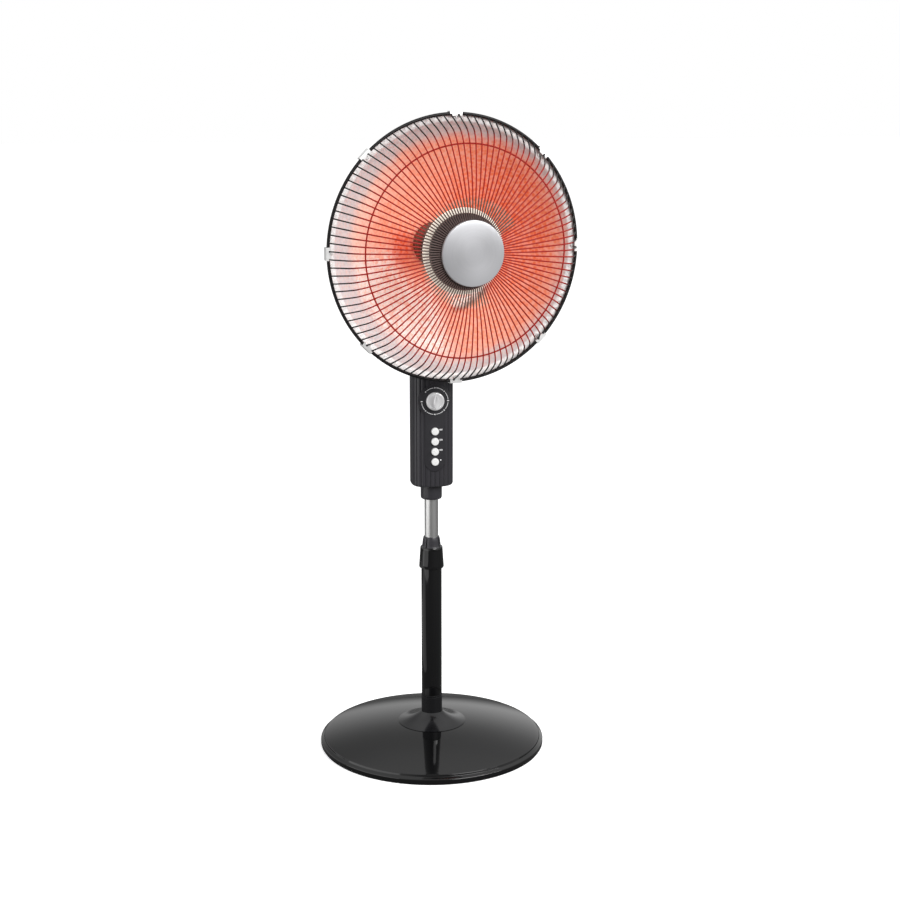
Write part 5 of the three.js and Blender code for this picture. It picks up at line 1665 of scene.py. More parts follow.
    def tube(self) -> None:
        """The bright inner tube and the moulded collar that holds it."""
        pole = turned(softened([
            (self.tube_bore, LEVELS.inner_pole_bottom),
            (self.tube_radius, LEVELS.inner_pole_bottom),
            (self.tube_radius, LEVELS.inner_pole_top),
            (self.tube_bore, LEVELS.inner_pole_top)]), 96)
        add_piece("upper_tube", pole, UPRIGHT, Finishes.POLE_STEEL.material(), Body.COLUMN.value,
                  ["inner_pole"])
        shoulder = LEVELS.column_bottom - 0.3
        collar = turned(softened([
            (12.3, LEVELS.collar_bottom), (self.collar_radius, LEVELS.collar_bottom,
                                           self.collar_rounding),
            (self.collar_radius, shoulder, 0.3), (16, shoulder), (16, LEVELS.column_bottom + 3.1),
            (22, LEVELS.column_bottom + 3.1), (22, LEVELS.column_bottom + 7.1),
            (16, LEVELS.column_bottom + 7.1), (16, LEVELS.inner_pole_top),
            (12.3, LEVELS.inner_pole_top)], 6), 96)
        recess = turned([(0, 0), (3.9, 0), (3.9, 6), (0, 6)], 32)
        seat = (Matrix.Translation((0, 15.8, LEVELS.collar_bottom + 13)) @ FACING_BACK)
        add_piece("column_foot_collar", carved(collar, (Carving.CUT, recess.placed(seat))),
                  UPRIGHT, Finishes.SATIN.material(), Body.COLUMN.value,
                  ["column_collar"])

    def housing(self) -> None:
        """The reeded front and the smooth rear of the housing."""
        pocket = slab(self.panel_outline(0.3), self.panel_front - self.panel_thickness - 0.3,
                      self.half_depth + 4)
        boss = slab(circle(self.dial_radius + 0.3, 72), self.dial_boss_back,
                    self.panel_front - self.panel_thickness + 0.2)
        dial = Matrix.Translation((0, 0, LEVELS.dial)) @ FACING_FRONT
        holes = [(Carving.CUT, turned([(0, 15), (self.button_hole, 15), (self.button_hole, 34),
                                       (0, 34)], 32)
                  .placed(Matrix.Translation((0, 0, level)) @ FACING_FRONT))
                 for level in LEVELS.buttons]
        cavity = self.cavity()
        front = carved(self.shell(self.front_plan(), -1), (Carving.ADD, boss.placed(dial)),
                       (Carving.CUT, pocket.placed(dial)), (Carving.CUT, cavity), *holes)
        add_piece("column_front_shell", front, UPRIGHT, Finishes.SATIN.material(),
                  Body.COLUMN.value, ["column_front"], crease=32.0)
        smooth = [point for point, _ in self.plan(self.half_width - self.reed_depth / 2,
                                                  self.half_depth, self.rear_samples, 0, math.pi)]
        wells = [(Carving.CUT, turned([(0, self.screw_plane), (3.6, self.screw_plane), (3.6, 36),
                                       (0, 36)], 32)
                  .placed(Matrix.Translation((side, 0, level)) @ FACING_BACK))
                 for side, level in self.screw_places()]
        gland = turned([(0, 20), (6.3, 20), (6.3, 36), (0, 36)], 32).placed(
            Matrix.Translation((0, 0, self.gland_level)) @ FACING_BACK)
        rear = carved(self.shell(smooth, 1), (Carving.CUT, cavity),
                      *((Carving.ADD, lip) for lip in self.lips()), *wells, (Carving.CUT, gland))
        add_piece("column_rear_shell", rear, UPRIGHT, Finishes.SATIN.material(),
                  Body.COLUMN.value, ["column_rear"], crease=32.0)

    def lips(self) -> list[Form]:
        """The rear shell's inner lips, which reach behind the front and close the seams."""
        inside = self.half_width - self.reed_depth - self.wall
        thickness, reach = self.lip
        outline = [(inside - thickness, -reach), (inside - self.seam, -reach),
                   (inside - self.seam, 2 * self.seam), (inside + thickness, 2 * self.seam),
                   (inside + thickness, reach), (inside - thickness, reach)]
        mirrored = [(-x, y) for x, y in reversed(outline)]
        return [slab(line, LEVELS.column_bottom + self.wall + 0.3,
                     LEVELS.column_top - self.wall - 0.3) for line in (outline, mirrored)]

    def screw_places(self) -> list[Point2]:
        """Side and height of each screw in the rear shell."""
        return [(-self.screw_side, self.screw_low), (self.screw_side, self.screw_low),
                (0.0, self.screw_high)]

    def panel(self) -> None:
        """The keyhole panel and its printed marks."""
        dial = on_front(LEVELS.dial, 0.0)
        holes = [(Carving.CUT, slab(circle(self.button_hole, 40, (0.0, level - LEVELS.dial)),
                                    20, 40)) for level in LEVELS.buttons]
        plate = slab(self.panel_outline(0.0), self.panel_front - self.panel_thickness,
                     self.panel_front, 0.5)
        shaft = slab(circle(3.4, 32), 20, 40)
        add_piece("control_panel", carved(plate, *holes, (Carving.CUT, shaft)), dial,
                  Finishes.PANEL.material(), Body.COLUMN.value,
                  ["control_fascia"])
        add_piece("panel_marks", self.marks(), dial, Finishes.PRINT.material(),
                  Body.COLUMN.value)

    def marks(self) -> Form:
        """The dial's arcs and dots and the small bars beside the buttons, as thin raised print."""
        bottom, top = self.panel_front - 0.05, self.panel_front + 0.12
        radius, width = 23.1, 0.5
        forms = []
        for i in range(8):
            angle = math.radians(135 - 45 * i)
            spot = (radius * math.cos(angle), radius * math.sin(angle))
            level = abs(spot[1]) < 1.0
            forms.append(slab(rounded_box(1.9, 0.9, 0.8, 4, spot) if level
                              else circle(1.2, 20, spot), bottom, top))
            if i == 7:
                continue
            start, end = angle - math.radians(6.5), angle - math.radians(38.5)
            outline = [*arc((0, 0), radius + width, end, start, 14),
                       *reversed(arc((0, 0), radius - width, end, start, 14))]
            forms.append(slab(outline, bottom, top))
        for i, level in enumerate(LEVELS.buttons):
            rise = level - LEVELS.dial + 2.6
            if i == len(LEVELS.buttons) - 1:
                forms.append(slab(circle(1.3, 20, (10.0, rise)), bottom, top))
                continue
            for k in range(3):
                forms.append(slab(rounded_box(0.65, 1.4, 0.2, 2, (8.6 + 1.9 * k, rise)),
                                  bottom, top))
        return forms[0].with_others(*forms[1:])

    def fixings(self) -> None:
        """The screws, the cord gland and the collar's screw, all at the back."""
        source = bpy.data.objects.new("screw", cross_screw(3.2, 2.2).placed(FACING_BACK)
                                      .to_mesh("screw"))
        places = bpy.data.meshes.new("places")
        places.from_pydata([(side, self.screw_plane - 0.05, level)
                            for side, level in self.screw_places()], [], [])
        material = Finishes.STEEL.material()
        screws = grown(scatter_tree(), places, {"Shape": source, "Material": material})
        bpy.data.objects.remove(source)
        add_piece("housing_screws", screws, UPRIGHT, material, Body.COLUMN.value,
                  ["column_screw_1", "column_screw_2", "column_screw_3"])
        seat = Matrix.Translation((0, 16.0, LEVELS.collar_bottom + 13)) @ FACING_BACK
        add_piece("collar_pinch_screw", cross_screw(3.6, 2.6).placed(seat), UPRIGHT, material,
                  Body.COLUMN.value, ["collar_screw"])
        gland = turned(softened([(3.5, 24), (6, 24), (6, 31.3), (8, 31.3), (8, 33.5, 0.9),
                                 (3.5, 33.5, 0.7)]), 48)
        add_piece("lead_gland", gland.placed(Matrix.Translation((0, 0, self.gland_level))
                                             @ FACING_BACK), UPRIGHT, Finishes.MATT.material(),
                  Body.COLUMN.value, ["cord_gland"])

    def hidden(self) -> None:
        """Finishes for the parts inside the housing."""
        for node, finish, slot in (
                ("inner_pole_guide", Finishes.WHITE, Slot.WHITE_PLASTIC),
                ("timer_body", Finishes.CERAMIC, Slot.PALE_CERAMIC),
                ("push_switch_block", Finishes.MATT, Slot.MATT_PLASTIC),
                ("tip_over_switch", Finishes.WHITE, Slot.WHITE_PLASTIC),
                ("swing_motor", Finishes.STEEL, Slot.BRIGHT_STEEL),
                ("swing_crank", Finishes.WHITE, Slot.WHITE_PLASTIC),
                ("swivel_bush", Finishes.WHITE, Slot.WHITE_PLASTIC)):
            coat(node, finish)


@dataclass(frozen=True)
class Controls:
    """The timer knob and the push buttons."""

    back: float = 31.0
    radius: float = 15.7
    disc: float = 6.0
    bevel: float = 1.8
    grip_half_length: float = 13.5
    grip_half_width: float = 4.2
    grip_proud: float = 9.0
    shaft: float = 3.0
    shaft_end: float = 16.0
    button_radius: float = 6.5
    button_tip: float = 34.8
    button_flange: float = 8.2
    button_flange_front: float = 26.5

    def build(self) -> None:
        """Builds and dresses the knob and the buttons."""
        disc = turned(softened([
            (0, 0), (self.radius, 0, 0.4), (self.radius, self.disc - 0.6, self.bevel),
            (self.radius - 3.4, self.disc, 0.8), (self.radius - 4.2, self.disc - 0.5, 0.5),
            (0, self.disc - 0.5)], 5), 96)
        arc_radius = ((self.grip_half_length ** 2 + self.grip_half_width ** 2)
                      / (2 * self.grip_half_width))
        half_angle = math.asin(self.grip_half_length / arc_radius)
        shift = arc_radius - self.grip_half_width
        lens = [*arc((-shift, 0), arc_radius, -half_angle, half_angle, 20)[:-1],
                *arc((shift, 0), arc_radius, math.pi - half_angle, math.pi + half_angle, 20)[:-1]]
        grip = slab(lens, self.disc / 2, self.disc + self.grip_proud, 1.1, 4)
        shaft = turned([(0, -self.shaft_end), (self.shaft, -self.shaft_end), (self.shaft, 2),
                        (0, 2)], 32)
        knob = carved(disc, (Carving.ADD, grip), (Carving.ADD, shaft))
        add_piece("timer_dial_knob", knob, on_front(LEVELS.dial, self.back),
                  Finishes.KNOB.material(), Body.TIMER_KNOB.value,
                  ["timer_knob"], crease=30.0)
        front = self.button_flange_front
        outline = softened([
            (0, front - 9), (self.shaft, front - 9), (self.shaft, front - 1.5),
            (self.button_flange, front - 1.5), (self.button_flange, front),
            (self.button_radius, front), (self.button_radius, self.button_tip - 0.5, 1.3),
            (self.button_radius - 2, self.button_tip - 0.15, 1.2), (0, self.button_tip)], 4)
        for i, level in enumerate(LEVELS.buttons, 1):
            add_piece(f"button_cap_{i}", turned(outline, 48), on_front(level, 0.0),
                      Finishes.WHITE.material(), f"push_button_{i}",
                      [f"push_button_{i}"])


# SWIVEL AND TILT


@dataclass(frozen=True)
class Swivel:
    """The neck that turns on the column, its fork and the tilt bolt."""

    foot_radius: float = 24.0
    waist_radius: float = 15.0
    height: float = 34.0
    cheek_inside: float = 11.0
    cheek_thickness: float = 6.0
    cheek_radius: float = 12.0
    bolt_radius: float = 3.8
    bolt_head: float = 6.5
    bolt_head_thickness: float = 4.5

    def cheek(self, near: float) -> Form:
        """One cheek of the fork, a plate with a round top.

        Args:
            near: place of its left face.
        Returns:
            The cheek, upright.
        """
        start = LEVELS.neck_bottom + self.height - 5
        outline = [(-self.cheek_radius, start), (self.cheek_radius, start),
                   *arc((0, LEVELS.pivot), self.cheek_radius, 0, math.pi, 24)]
        plate = slab(outline, 0, self.cheek_thickness, 0.7)
        across = Matrix.Rotation(RIGHT_ANGLE, 4, "Z") @ Matrix.Rotation(RIGHT_ANGLE, 4, "X")
        return plate.placed(Matrix.Translation((near, 0, 0)) @ across)

    def build(self) -> None:
        """Builds and dresses the neck and the bolt."""
        low, top = LEVELS.neck_bottom, LEVELS.neck_bottom + self.height
        outside = self.cheek_inside + self.cheek_thickness
        stem = turned(softened([
            (0, low), (self.foot_radius, low, 0.8), (self.foot_radius, low + 5, 1.5),
            (outside, low + 10, 5), (self.waist_radius, low + self.height / 2, 6),
            (outside, top, 1.2), (0, top)], 6), 96)
        neck = carved(stem, (Carving.ADD, self.cheek(-outside)),
                      (Carving.ADD, self.cheek(self.cheek_inside)))
        bore = turned([(0, low - 1), (9.3, low - 1), (9.3, low + 18), (0, low + 18)], 48)
        sideways = Matrix.Translation((0, 0, LEVELS.pivot)) @ Matrix.Rotation(RIGHT_ANGLE, 4, "Y")
        hole = turned([(0, -20), (4.1, -20), (4.1, 20), (0, 20)], 32).placed(sideways)
        add_piece("swivel_neck", carved(neck, (Carving.CUT, bore), (Carving.CUT, hole)),
                  TURNED_WITH_HEAD, Finishes.PAINT.material(), Body.SWIVEL.value,
                  ["tilt_neck"])
        face = outside + 0.3
        end = face + self.bolt_head_thickness
        shank = turned(softened([(0, -end - 3), (self.bolt_radius, -end - 3, 0.6),
                                 (self.bolt_radius, end - 1), (0, end - 1)]), 40)
        head = hexagon(self.bolt_head, face, end)
        nut = hexagon(self.bolt_head, face, end).placed(Matrix.Rotation(math.pi, 4, "X"))
        add_piece("tilt_hinge_bolt", carved(shank, (Carving.ADD, head), (Carving.ADD, nut))
                  .placed(sideways), TURNED_WITH_HEAD, Finishes.STEEL.material(),
                  Body.SWIVEL.value, ["tilt_bolt"])
        coat("swivel_shaft", Finishes.STEEL)


# HEAD


@dataclass(frozen=True)
class Head:
    """The bowl, the cup behind it, its bracket and the heating element."""

    bowl_radius: float = 206.0
    bowl_depth: float = 96.5
    bowl_floor: float = -100.0
    bowl_flat: float = 38.0
    bowl_hole: float = 26.0
    sheet: float = 1.2
    flange_radius: float = 217.0
    flange_front: float = -3.5
    lip_depth: float = 4.0
    bowl_sides: int = 360
    bowl_stations: int = 66
    beat_pitch: float = 9.0
    beat_depth: float = 0.4
    cup_radius: float = 65.0
    cup_wall: float = 2.5
    cup_front: float = -94.95
    cup_back: float = -130.95
    cover_front: float = -131.25
    cover_back: float = -161.25
    vents: int = 6
    tongue: float = 21.4
    saddle_half_width: float = 20.0
    saddle_depth: float = 26.0

    def build(self) -> None:
        """Builds and dresses every piece of the head."""
        self.bowl()
        self.cup()
        self.bracket()
        self.element()

    def face(self, radius: float) -> float:
        """Forward station of the bowl's face at a radius."""
        flat = self.bowl_flat ** 2
        share = max(radius ** 2 - flat, 0.0) / (self.bowl_radius ** 2 - flat)
        return self.bowl_floor + self.bowl_depth * share

    def bowl(self) -> None:
        """The beaten aluminium bowl with its flange and lip."""
        radii = [self.bowl_hole + (self.bowl_radius - self.bowl_hole) * k / self.bowl_stations
                 for k in range(self.bowl_stations + 1)]
        front = [(r, self.face(r)) for r in radii]
        lip = self.flange_front - self.sheet - self.lip_depth
        flange = softened([
            (self.bowl_radius, self.flange_front), (self.flange_radius, self.flange_front, 1.2),
            (self.flange_radius, lip), (self.flange_radius - self.sheet, lip),
            (self.flange_radius - self.sheet, self.flange_front - self.sheet, 0.8),
            (self.bowl_radius, self.flange_front - self.sheet)], 4)
        back = [(r, z - self.sheet) for r, z in reversed(front)]
        form = turned([*front[:-1], *flange, *back[1:]], self.bowl_sides)
        for point in form.points:
            radius = math.hypot(point.x, point.y)
            near = min((radius - self.bowl_hole - 10) / 12, (self.bowl_radius - 2 - radius) / 8)
            share = max(0.0, min(1.0, near))
            if share > 0:
                spot = Vector((point.x, point.y, 0)) / self.beat_pitch
                point.z += self.beat_depth * share * (noise.voronoi(spot)[0][0] - 0.5)
        dish = add_piece("reflector_dish", form, ON_HEAD_AXIS, Finishes.REFLECTOR.material(),
                         Body.HEAD.value, ["reflector_bowl"], crease=45.0)
        dish.data.materials.append(Finishes.BEATEN.material())
        forward = ON_HEAD_AXIS.to_3x3() @ Vector((0, 0, 1))
        for polygon in dish.data.polygons:
            polygon.material_index = int(polygon.normal.dot(forward) <= 0)

    def cup(self) -> None:
        """The cup behind the bowl and its vented cover."""
        bore = self.cup_radius - self.cup_wall
        cup = turned(softened([
            (bore, self.cup_back), (self.cup_radius, self.cup_back, 0.5),
            (self.cup_radius, self.cup_front, 0.5), (bore, self.cup_front)]), 96)
        add_piece("head_cup", cup, ON_HEAD_AXIS, Finishes.PAINT.material(), Body.HEAD.value,
                  ["rear_cup"])
        crown = 0.82 * self.cup_radius
        shoulder = self.cover_front - 18
        cover = turned(softened([
            (3.3, self.cover_back), (crown, self.cover_back, 10),
            ((crown + self.cup_radius) / 2 + 1, (shoulder + 2 * self.cover_back) / 3, 6),
            (self.cup_radius, shoulder, 6), (self.cup_radius, self.cover_front, 0.5),
            (bore, self.cover_front), (bore, shoulder, 6),
            (crown - 1, self.cover_back + self.cup_wall, 6),
            (3.3, self.cover_back + self.cup_wall)], 6), 96)
        slot = slab(rounded_box(12, 2, 1.9, 6, (30, 0)), self.cover_back - 3, self.cover_back + 6)
        slots = ring_of(slot, self.vents, 0.0, Finishes.PAINT.material())
        add_piece("head_cover", carved(cover, (Carving.CUT, slots)), ON_HEAD_AXIS,
                  Finishes.PAINT.material(), Body.HEAD.value, ["rear_cover"])
        coat("mount_plate", Finishes.STEEL)

    def bracket(self) -> None:
        """The tongue in the neck's fork and the saddle that carries the cup."""
        half = self.tongue / 2
        across = Matrix.Rotation(RIGHT_ANGLE, 4, "Z") @ Matrix.Rotation(RIGHT_ANGLE, 4, "X")
        saddle_low = LEVELS.head_axis - self.cup_radius - 6
        outline = [*arc((0, LEVELS.pivot), 12, math.pi, TURN, 24), (9.6, saddle_low + 4),
                   (-9.6, saddle_low + 4)]
        web = slab(outline, -half, half, 0.8).placed(across)
        middle = HEAD_POSE.forward + (self.cup_front + self.cup_back) / 2
        saddle = slab(rounded_box(self.saddle_half_width, self.saddle_depth / 2, 3), saddle_low,
                      saddle_low + 13, 0.8).placed(Matrix.Translation((0, -middle, 0)))
        cup = turned([(0, self.cup_back - 2), (self.cup_radius + 0.3, self.cup_back - 2),
                      (self.cup_radius + 0.3, self.cup_front + 2), (0, self.cup_front + 2)], 96)
        axis = Matrix.Translation((0, -HEAD_POSE.forward, LEVELS.head_axis)) @ FACING_FRONT
        sideways = Matrix.Translation((0, 0, LEVELS.pivot)) @ Matrix.Rotation(RIGHT_ANGLE, 4, "Y")
        hole = turned([(0, -20), (4.1, -20), (4.1, 20), (0, 20)], 32).placed(sideways)
        bracket = carved(web, (Carving.ADD, saddle), (Carving.CUT, cup.placed(axis)),
                         (Carving.CUT, hole))
        add_piece("head_bracket", bracket, TURNED_WITH_HEAD, Finishes.PAINT.material(),
                  Body.HEAD.value, ["tilt_bracket"])
        seat = (Matrix.Translation((15, -middle, saddle_low - 0.3))
                @ Matrix.Rotation(math.pi, 4, "X"))
        add_piece("bracket_screw", cross_screw(3.2, 2.2).placed(seat), TURNED_WITH_HEAD,
                  Finishes.STEEL.material(), Body.HEAD.value, ["saddle_screw"])

    def element(self) -> None:
        """The ceramic parts, the coil, the shield in front of them and the rod through all."""
        base = turned(softened([
            (3.3, -101.2), (25.7, -101.2), (25.7, -99.7), (37, -99.7, 0.6), (37, -90, 1.2),
            (3.3, -90)]), 72)
        # The foot's dark brown finish is painted shade.
        add_piece("element_foot", base, ON_HEAD_AXIS, Finishes.SHADED_CERAMIC.material(),
                  Body.HEAD.value, ["element_base"])
        ribs: list[Point2] = []
        for k in range(37):
            forward = -88.5 + 115.0 * k / 36
            ribs += [(24.0, forward), (23.0, forward + 1.6)]
        core = turned([(3.3, -89.7), (24, -89.7), *ribs, (24, 27.7), (3.3, 27.7)], 64)
        add_piece("element_core", core, ON_HEAD_AXIS, Finishes.CORE.material(), Body.HEAD.value,
                  ["ceramic_core"])
        coil = wires(self.coil_line(), 2.2, 10, Finishes.COIL.material())
        add_piece("element_coil", coil, ON_HEAD_AXIS, Finishes.COIL.material(), Body.HEAD.value,
                  ["heating_coil"])
        deflector = turned(softened([
            (3.3, 28), (33.4, 28, 2), (70, 33, 0.8), (70, 35.4, 0.8), (33.4, 30.4, 2),
            (3.3, 30.4)]), 96)
        add_piece("element_deflector", deflector, ON_HEAD_AXIS, Finishes.CREAM.material(),
                  Body.HEAD.value, ["heat_deflector"])
        shield = turned(softened([
            (62, 41.4, 0.4), (62, 50.8, 5), (53.3, 58.4, 5), (3.3, 58.4), (3.3, 30.7), (8, 30.7),
            (8, 57), (52.3, 57, 4), (60.6, 50.4, 4), (60.6, 41.4)], 6), 96)
        add_piece("element_cap", shield, ON_HEAD_AXIS, Finishes.STEEL_BLACK.material(),
                  Body.HEAD.value, ["element_shield"])
        rod = turned(softened([(0, -166.4), (3, -166.4, 0.6), (3, 60), (0, 60)]), 40)
        add_piece("element_rod", carved(rod, (Carving.ADD, hexagon(6, 58.7, 63.2))), ON_HEAD_AXIS,
                  Finishes.STEEL.material(), Body.HEAD.value, ["tie_rod"])
        for i, front in enumerate((-104.8, -161.55), 1):
            bore = turned([(0, front - 9), (3.3, front - 9), (3.3, front + 9), (0, front + 9)], 32)
            nut = hexagon(6, -front, 4.5 - front).placed(Matrix.Rotation(math.pi, 4, "X"))
            add_piece(f"rod_nut_{i}", carved(nut, (Carving.CUT, bore)), ON_HEAD_AXIS,
                      Finishes.STEEL.material(), Body.HEAD.value,
                      [f"tie_rod_nut_{i}"])

    @staticmethod
    def coil_line() -> list[Vector]:
        """The coil's centre line: a helix with a straight lead at each end."""
        radius, turns, pitch, bend, lead = 26.5, 6, 15.4, 5.0, 4.4
        foot, tip = -89.7, 27.7
        start = (foot + tip - turns * pitch) / 2
        line = [Vector((radius, -bend, foot)), Vector((radius, -bend, foot + lead))]
        for k in range(4):
            turn = k * RIGHT_ANGLE / 4
            line.append(Vector((radius, -bend * math.cos(turn),
                                start - bend * (1 - math.sin(turn)))))
        for k in range(turns * 40 + 1):
            angle = TURN * k / 40
            line.append(Vector((radius * math.cos(angle), radius * math.sin(angle),
                                start + pitch * k / 40)))
        end = start + turns * pitch
        for k in range(1, 5):
            turn = k * RIGHT_ANGLE / 4
            line.append(Vector((radius, bend * math.sin(turn), end + bend * (1 - math.cos(turn)))))
        return [*line, Vector((radius, bend, tip - lead)), Vector((radius, bend, tip))]


@dataclass(frozen=True)
class Guard:
    """The front grille of welded wires, its cap and the clips that hold it to the bowl."""

    wire_count: int = 104
    wire_radius: float = 1.15
    rim_radius: float = 216.5
    rim_wire: float = 2.7
    wire_phase: float = 0.68
    knots: tuple[Point2, ...] = ((216.5, 0.0), (205.5, 20.0), (194.8, 38.0), (186.0, 46.0),
                                 (172.0, 53.0), (140.0, 61.2), (109.0, 67.4), (78.0, 70.5),
                                 (47.0, 72.2))
    ring_radius: float = 171.2
    ring_forward: float = 50.8
    ring_wire: float = 1.3
    hub_radius: float = 49.0
    hub_back: float = 70.5
    hub_front: float = 73.5
    cap_radius: float = 53.0
    cap_back: float = 73.8
    cap_front: float = 80.3
    clips: int = 8
    clip_half_width: float = 10.5

    def build(self) -> None:
        """Builds and dresses the grille, the cap and the clips."""
        self.grille()
        self.cap()
        self.clip_ring()

    def grille(self) -> None:
        """The wires, the rim, the hub plate and the middle ring."""
        material = Finishes.GUARD.material()
        line = [(r, 0.0, f) for r, f in smooth_line(self.knots, 3)]
        bars = wires(line, self.wire_radius, 8, material, self.wire_count,
                     start=self.wire_phase * TURN / self.wire_count)
        rim_line = [(self.rim_radius * math.cos(TURN * k / 180),
                     self.rim_radius * math.sin(TURN * k / 180), 0.0) for k in range(180)]
        rim = wires(rim_line, self.rim_wire, 14, material, closed=True)
        plate = turned(softened([(0, self.hub_back), (self.hub_radius, self.hub_back, 0.6),
                                 (self.hub_radius, self.hub_front, 0.6), (0, self.hub_front)]), 96)
        add_piece("guard_grille", bars.with_others(rim, plate), ON_HEAD_AXIS, material,
                  Body.HEAD.value, ["front_guard"])
        ring_line = [(self.ring_radius * math.cos(TURN * k / 180),
                      self.ring_radius * math.sin(TURN * k / 180), self.ring_forward)
                     for k in range(180)]
        add_piece("guard_ring", wires(ring_line, self.ring_wire, 10, material, closed=True),
                  ON_HEAD_AXIS, material, Body.HEAD.value,
                  ["guard_middle_ring"])

    def cap(self) -> None:
        """The spun cap over the hub plate."""
        back, front = self.cap_back, self.cap_front
        outline = softened([
            (0, back), (self.cap_radius, back, 0.4), (self.cap_radius, front - 2.6, 0.5),
            (self.cap_radius - 0.9, front - 1.7, 0.6), (0.85 * self.cap_radius, front - 1.1),
            (0.6 * self.cap_radius, front - 0.4), (0.3 * self.cap_radius, front - 0.1),
            (0, front)], 5)
        add_piece("guard_cap", turned(outline, 144), ON_HEAD_AXIS, Finishes.SPUN.material(),
                  Body.HEAD.value, ["hub_cap"])

    def clip_ring(self) -> None:
        """Eight spring-steel clips with their screws."""
        outer, sheet, reach = 220.4, 0.8, 8.0
        inner = outer - sheet
        back, front = -8.99, 3.0
        profile = softened([
            (outer, back - sheet, 0.9), (outer, front + sheet, 0.9),
            (outer - reach, front + sheet, 0.4), (outer - reach, front, 0.3),
            (inner, front, 0.5),
            (inner, back, 0.5), (outer - 13, back, 0.3), (outer - 13, back - sheet, 0.3)], 3)
        strip_form = lofted([[(r, side, f) for r, f in profile]
                             for side in (-self.clip_half_width, self.clip_half_width)])
        pitch = TURN / self.wire_count
        notch = slab(rounded_box(reach - 4, 1.9, 1.8, 4, (outer - reach, 0)), front - 1, front + 2)
        strip_form = carved(strip_form, *(
            (Carving.CUT, notch.placed(Matrix.Rotation((self.wire_phase + k) * pitch, 4, "Z")))
            for k in (-1, 0)))
        screw = cross_screw(3.0, 2.0).placed(Matrix.Translation((210.5, 0, -3.4)))
        tail = turned(softened([(0, -14), (3, -14, 0.8), (3, -10), (0, -10)]), 24).placed(
            Matrix.Translation((210.5, 0, 0)))
        material = Finishes.PLATED.material()
        form = ring_of(strip_form.with_others(screw, tail), self.clips, 0.0, material)
        add_piece("guard_clips", form, ON_HEAD_AXIS, material, Body.HEAD.value,
                  [f"rim_clip_{i}" for i in range(1, self.clips + 1)])


# STUDIO


@dataclass(frozen=True)
class Lamp:
    """A soft rectangular lamp."""

    name: str
    place: tuple[float, float, float]
    target: tuple[float, float, float]
    width: float
    height: float
    power: float

    def build(self) -> None:
        """Adds the lamp, turned to its target."""
        light = bpy.data.lights.new(self.name, "AREA")
        light.shape = "RECTANGLE"
        light.size, light.size_y = self.width, self.height
        light.energy = self.power
        obj = bpy.data.objects.new(self.name, light)
        obj.location = self.place
        towards = Vector(self.target) - Vector(self.place)
        obj.rotation_euler = towards.to_track_quat("-Z", "Y").to_euler()
        obj.visible_camera = False
        bpy.context.scene.collection.objects.link(obj)


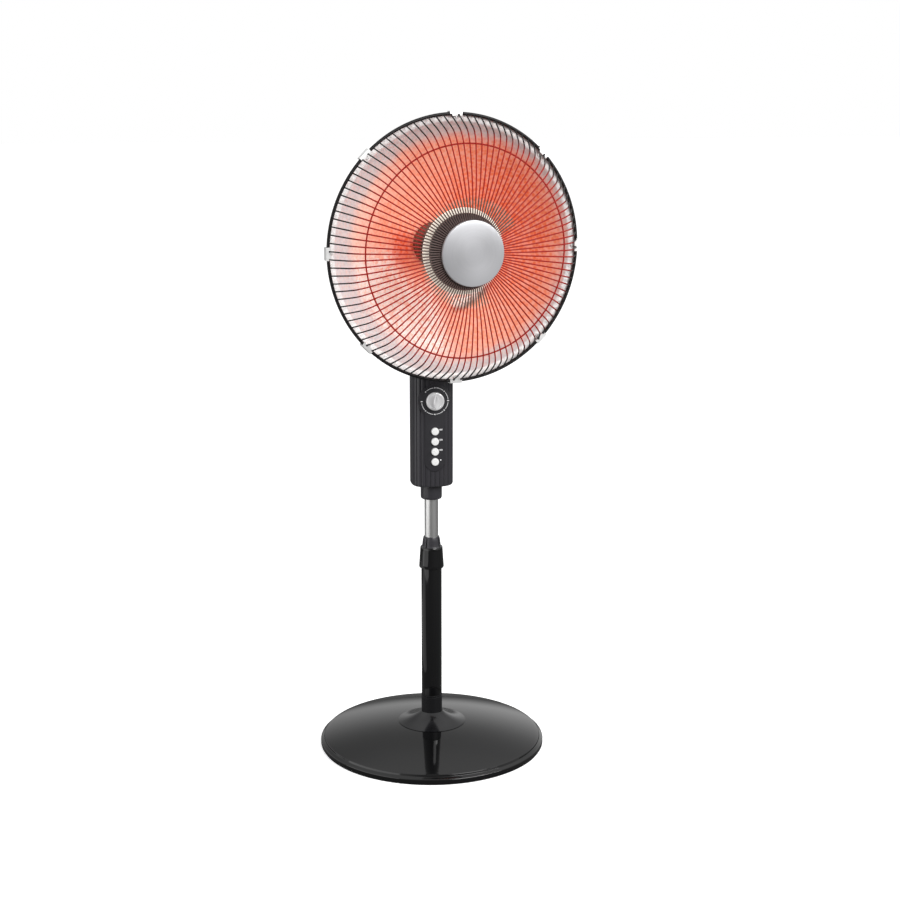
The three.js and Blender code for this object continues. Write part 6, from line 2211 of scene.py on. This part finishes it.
@dataclass(frozen=True)
class Studio:
    """The camera, the floor, the surroundings and the lamps."""

    camera_place: tuple[float, float, float] = (-0.5976, -2.7325, 1.161)
    camera_down: float = 12.585
    camera_azimuth: float = -13.006
    lens: float = 66.0
    sensor: float = 36.0
    floor_half: float = 30.0
    floor_tone: Colour = colour(250, 250, 250)
    floor_reflected: Colour = (0.13, 0.13, 0.13, 1.0)
    floor_glow: float = 0.45
    surroundings: float = 0.2
    from_left: float = 0.6
    from_right: float = 0.4
    from_behind: float = 0.78
    from_above: float = 0.7
    lamps: tuple[Lamp, ...] = (
        Lamp("key lamp", (1.6, -3.1, 2.6), (0, 0, 0.7), 2.2, 1.8, 115.0),
        Lamp("lamp on the right", (1.6, -1.3, 1.3), (0, 0, 0.2), 0.9, 0.16, 9.0),
        Lamp("card on the left", (-1.3, -0.42, 0.42), (0, 0, 0.42), 1.5, 0.84, 4.5),
        Lamp("card on the floor", (-1.5, 0.3, 0.004), (-1.5, 0.3, 1.0), 2.4, 0.8, 3.0),
    )

    def build(self) -> None:
        """Builds the whole studio."""
        self.camera()
        self.floor()
        self.world()
        for lamp in self.lamps:
            lamp.build()
        bpy.context.scene.view_settings.view_transform = "Standard"

    def camera(self) -> None:
        """The camera at the photograph's angle."""
        data = bpy.data.cameras.new("camera")
        data.lens = self.lens
        data.sensor_width = self.sensor
        obj = bpy.data.objects.new("camera", data)
        obj.location = self.camera_place
        obj.rotation_euler = (RIGHT_ANGLE - math.radians(self.camera_down), 0.0,
                              math.radians(self.camera_azimuth))
        bpy.context.scene.collection.objects.link(obj)
        bpy.context.scene.camera = obj

    def floor(self) -> None:
        """A plain pale floor."""
        half = self.floor_half
        mesh = bpy.data.meshes.new("floor")
        mesh.from_pydata([(-half, -half, 0), (half, -half, 0), (half, half, 0), (-half, half, 0)],
                         [], [(0, 1, 2, 3)])
        material = bpy.data.materials.new("floor")
        material.use_nodes = True
        surface = material.node_tree.nodes["Principled BSDF"]
        graph = Graph(material.node_tree)
        seen = graph.add("ShaderNodeLightPath").outputs["Is Camera Ray"]
        graph.join(graph.blend(seen, self.floor_reflected, self.floor_tone),
                   surface.inputs["Base Color"])
        graph.join(graph.blend(seen, UNLIT, self.floor_tone),
                   surface.inputs["Emission Color"])
        surface.inputs["Roughness"].default_value = 0.9
        surface.inputs["Specular IOR Level"].default_value = 0.1
        surface.inputs["Emission Strength"].default_value = self.floor_glow
        mesh.materials.append(material)
        obj = bpy.data.objects.new("floor", mesh)
        bpy.context.scene.collection.objects.link(obj)

    def world(self) -> None:
        """White surroundings that light the heater softly."""
        world = bpy.data.worlds.new("surroundings")
        bpy.context.scene.world = world
        world.use_nodes = True
        world.node_tree.nodes.clear()
        graph = Graph(world.node_tree)
        seen = graph.add("ShaderNodeLightPath").outputs["Is Camera Ray"]
        way = graph.add("ShaderNodeSeparateXYZ", {
            0: graph.add("ShaderNodeTexCoord").outputs["Generated"]}).outputs
        sides = graph.maths("ADD", graph.step(way["X"], -0.2, -0.9, 0.0, self.from_left),
                            graph.step(way["X"], 0.1, 0.9, 0.0, self.from_right))
        rise = graph.maths("MULTIPLY", graph.step(way["Z"], 0.0, 0.15),
                           graph.step(way["Z"], 0.66, 0.16))
        behind = graph.maths("MULTIPLY", graph.step(way["Y"], 0.1, 0.8, 0.0, self.from_behind),
                             graph.maths("MULTIPLY", rise,
                                         graph.step(way["X"], -0.5, 0.5, 0.45, 1.0)))
        above = graph.step(way["Z"], 0.4, 0.95, 0.0, self.from_above)
        light = graph.maths("ADD", graph.maths("ADD", sides, self.surroundings),
                            graph.maths("ADD", behind, above))
        strength = graph.add("ShaderNodeMix", {0: seen, 2: light, 3: 1.0},
                             data_type="FLOAT").outputs[0]
        back = graph.add("ShaderNodeBackground", {"Color": (1.0, 1.0, 1.0, 1.0),
                                                  "Strength": strength})
        graph.add("ShaderNodeOutputWorld", {"Surface": back.outputs[0]})


def clear_scene() -> None:
    """Removes whatever isn't part of the loaded frame."""
    known = {obj.name for group in ("nodes", "bodies") for obj in frame[group].values()}
    for obj in list(bpy.data.objects):
        if obj.name not in known:
            bpy.data.objects.remove(obj)


def corners(box: tuple[Vector, Vector]) -> list[list[float]]:
    """A box as plain lists of numbers."""
    return [list(corner) for corner in box]


def main() -> None:
    """Builds the heater's looks and its studio."""
    logging.basicConfig(level=logging.INFO, format="%(name)s: %(message)s")
    clear_scene()
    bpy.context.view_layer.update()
    for part in (Studio(), Stand(), LockNut(), Column(), Controls(), Swivel(), Head(), Guard()):
        part.build()
        LOG.info("%s is built", type(part).__name__)


if __name__ == "__main__":
    main()
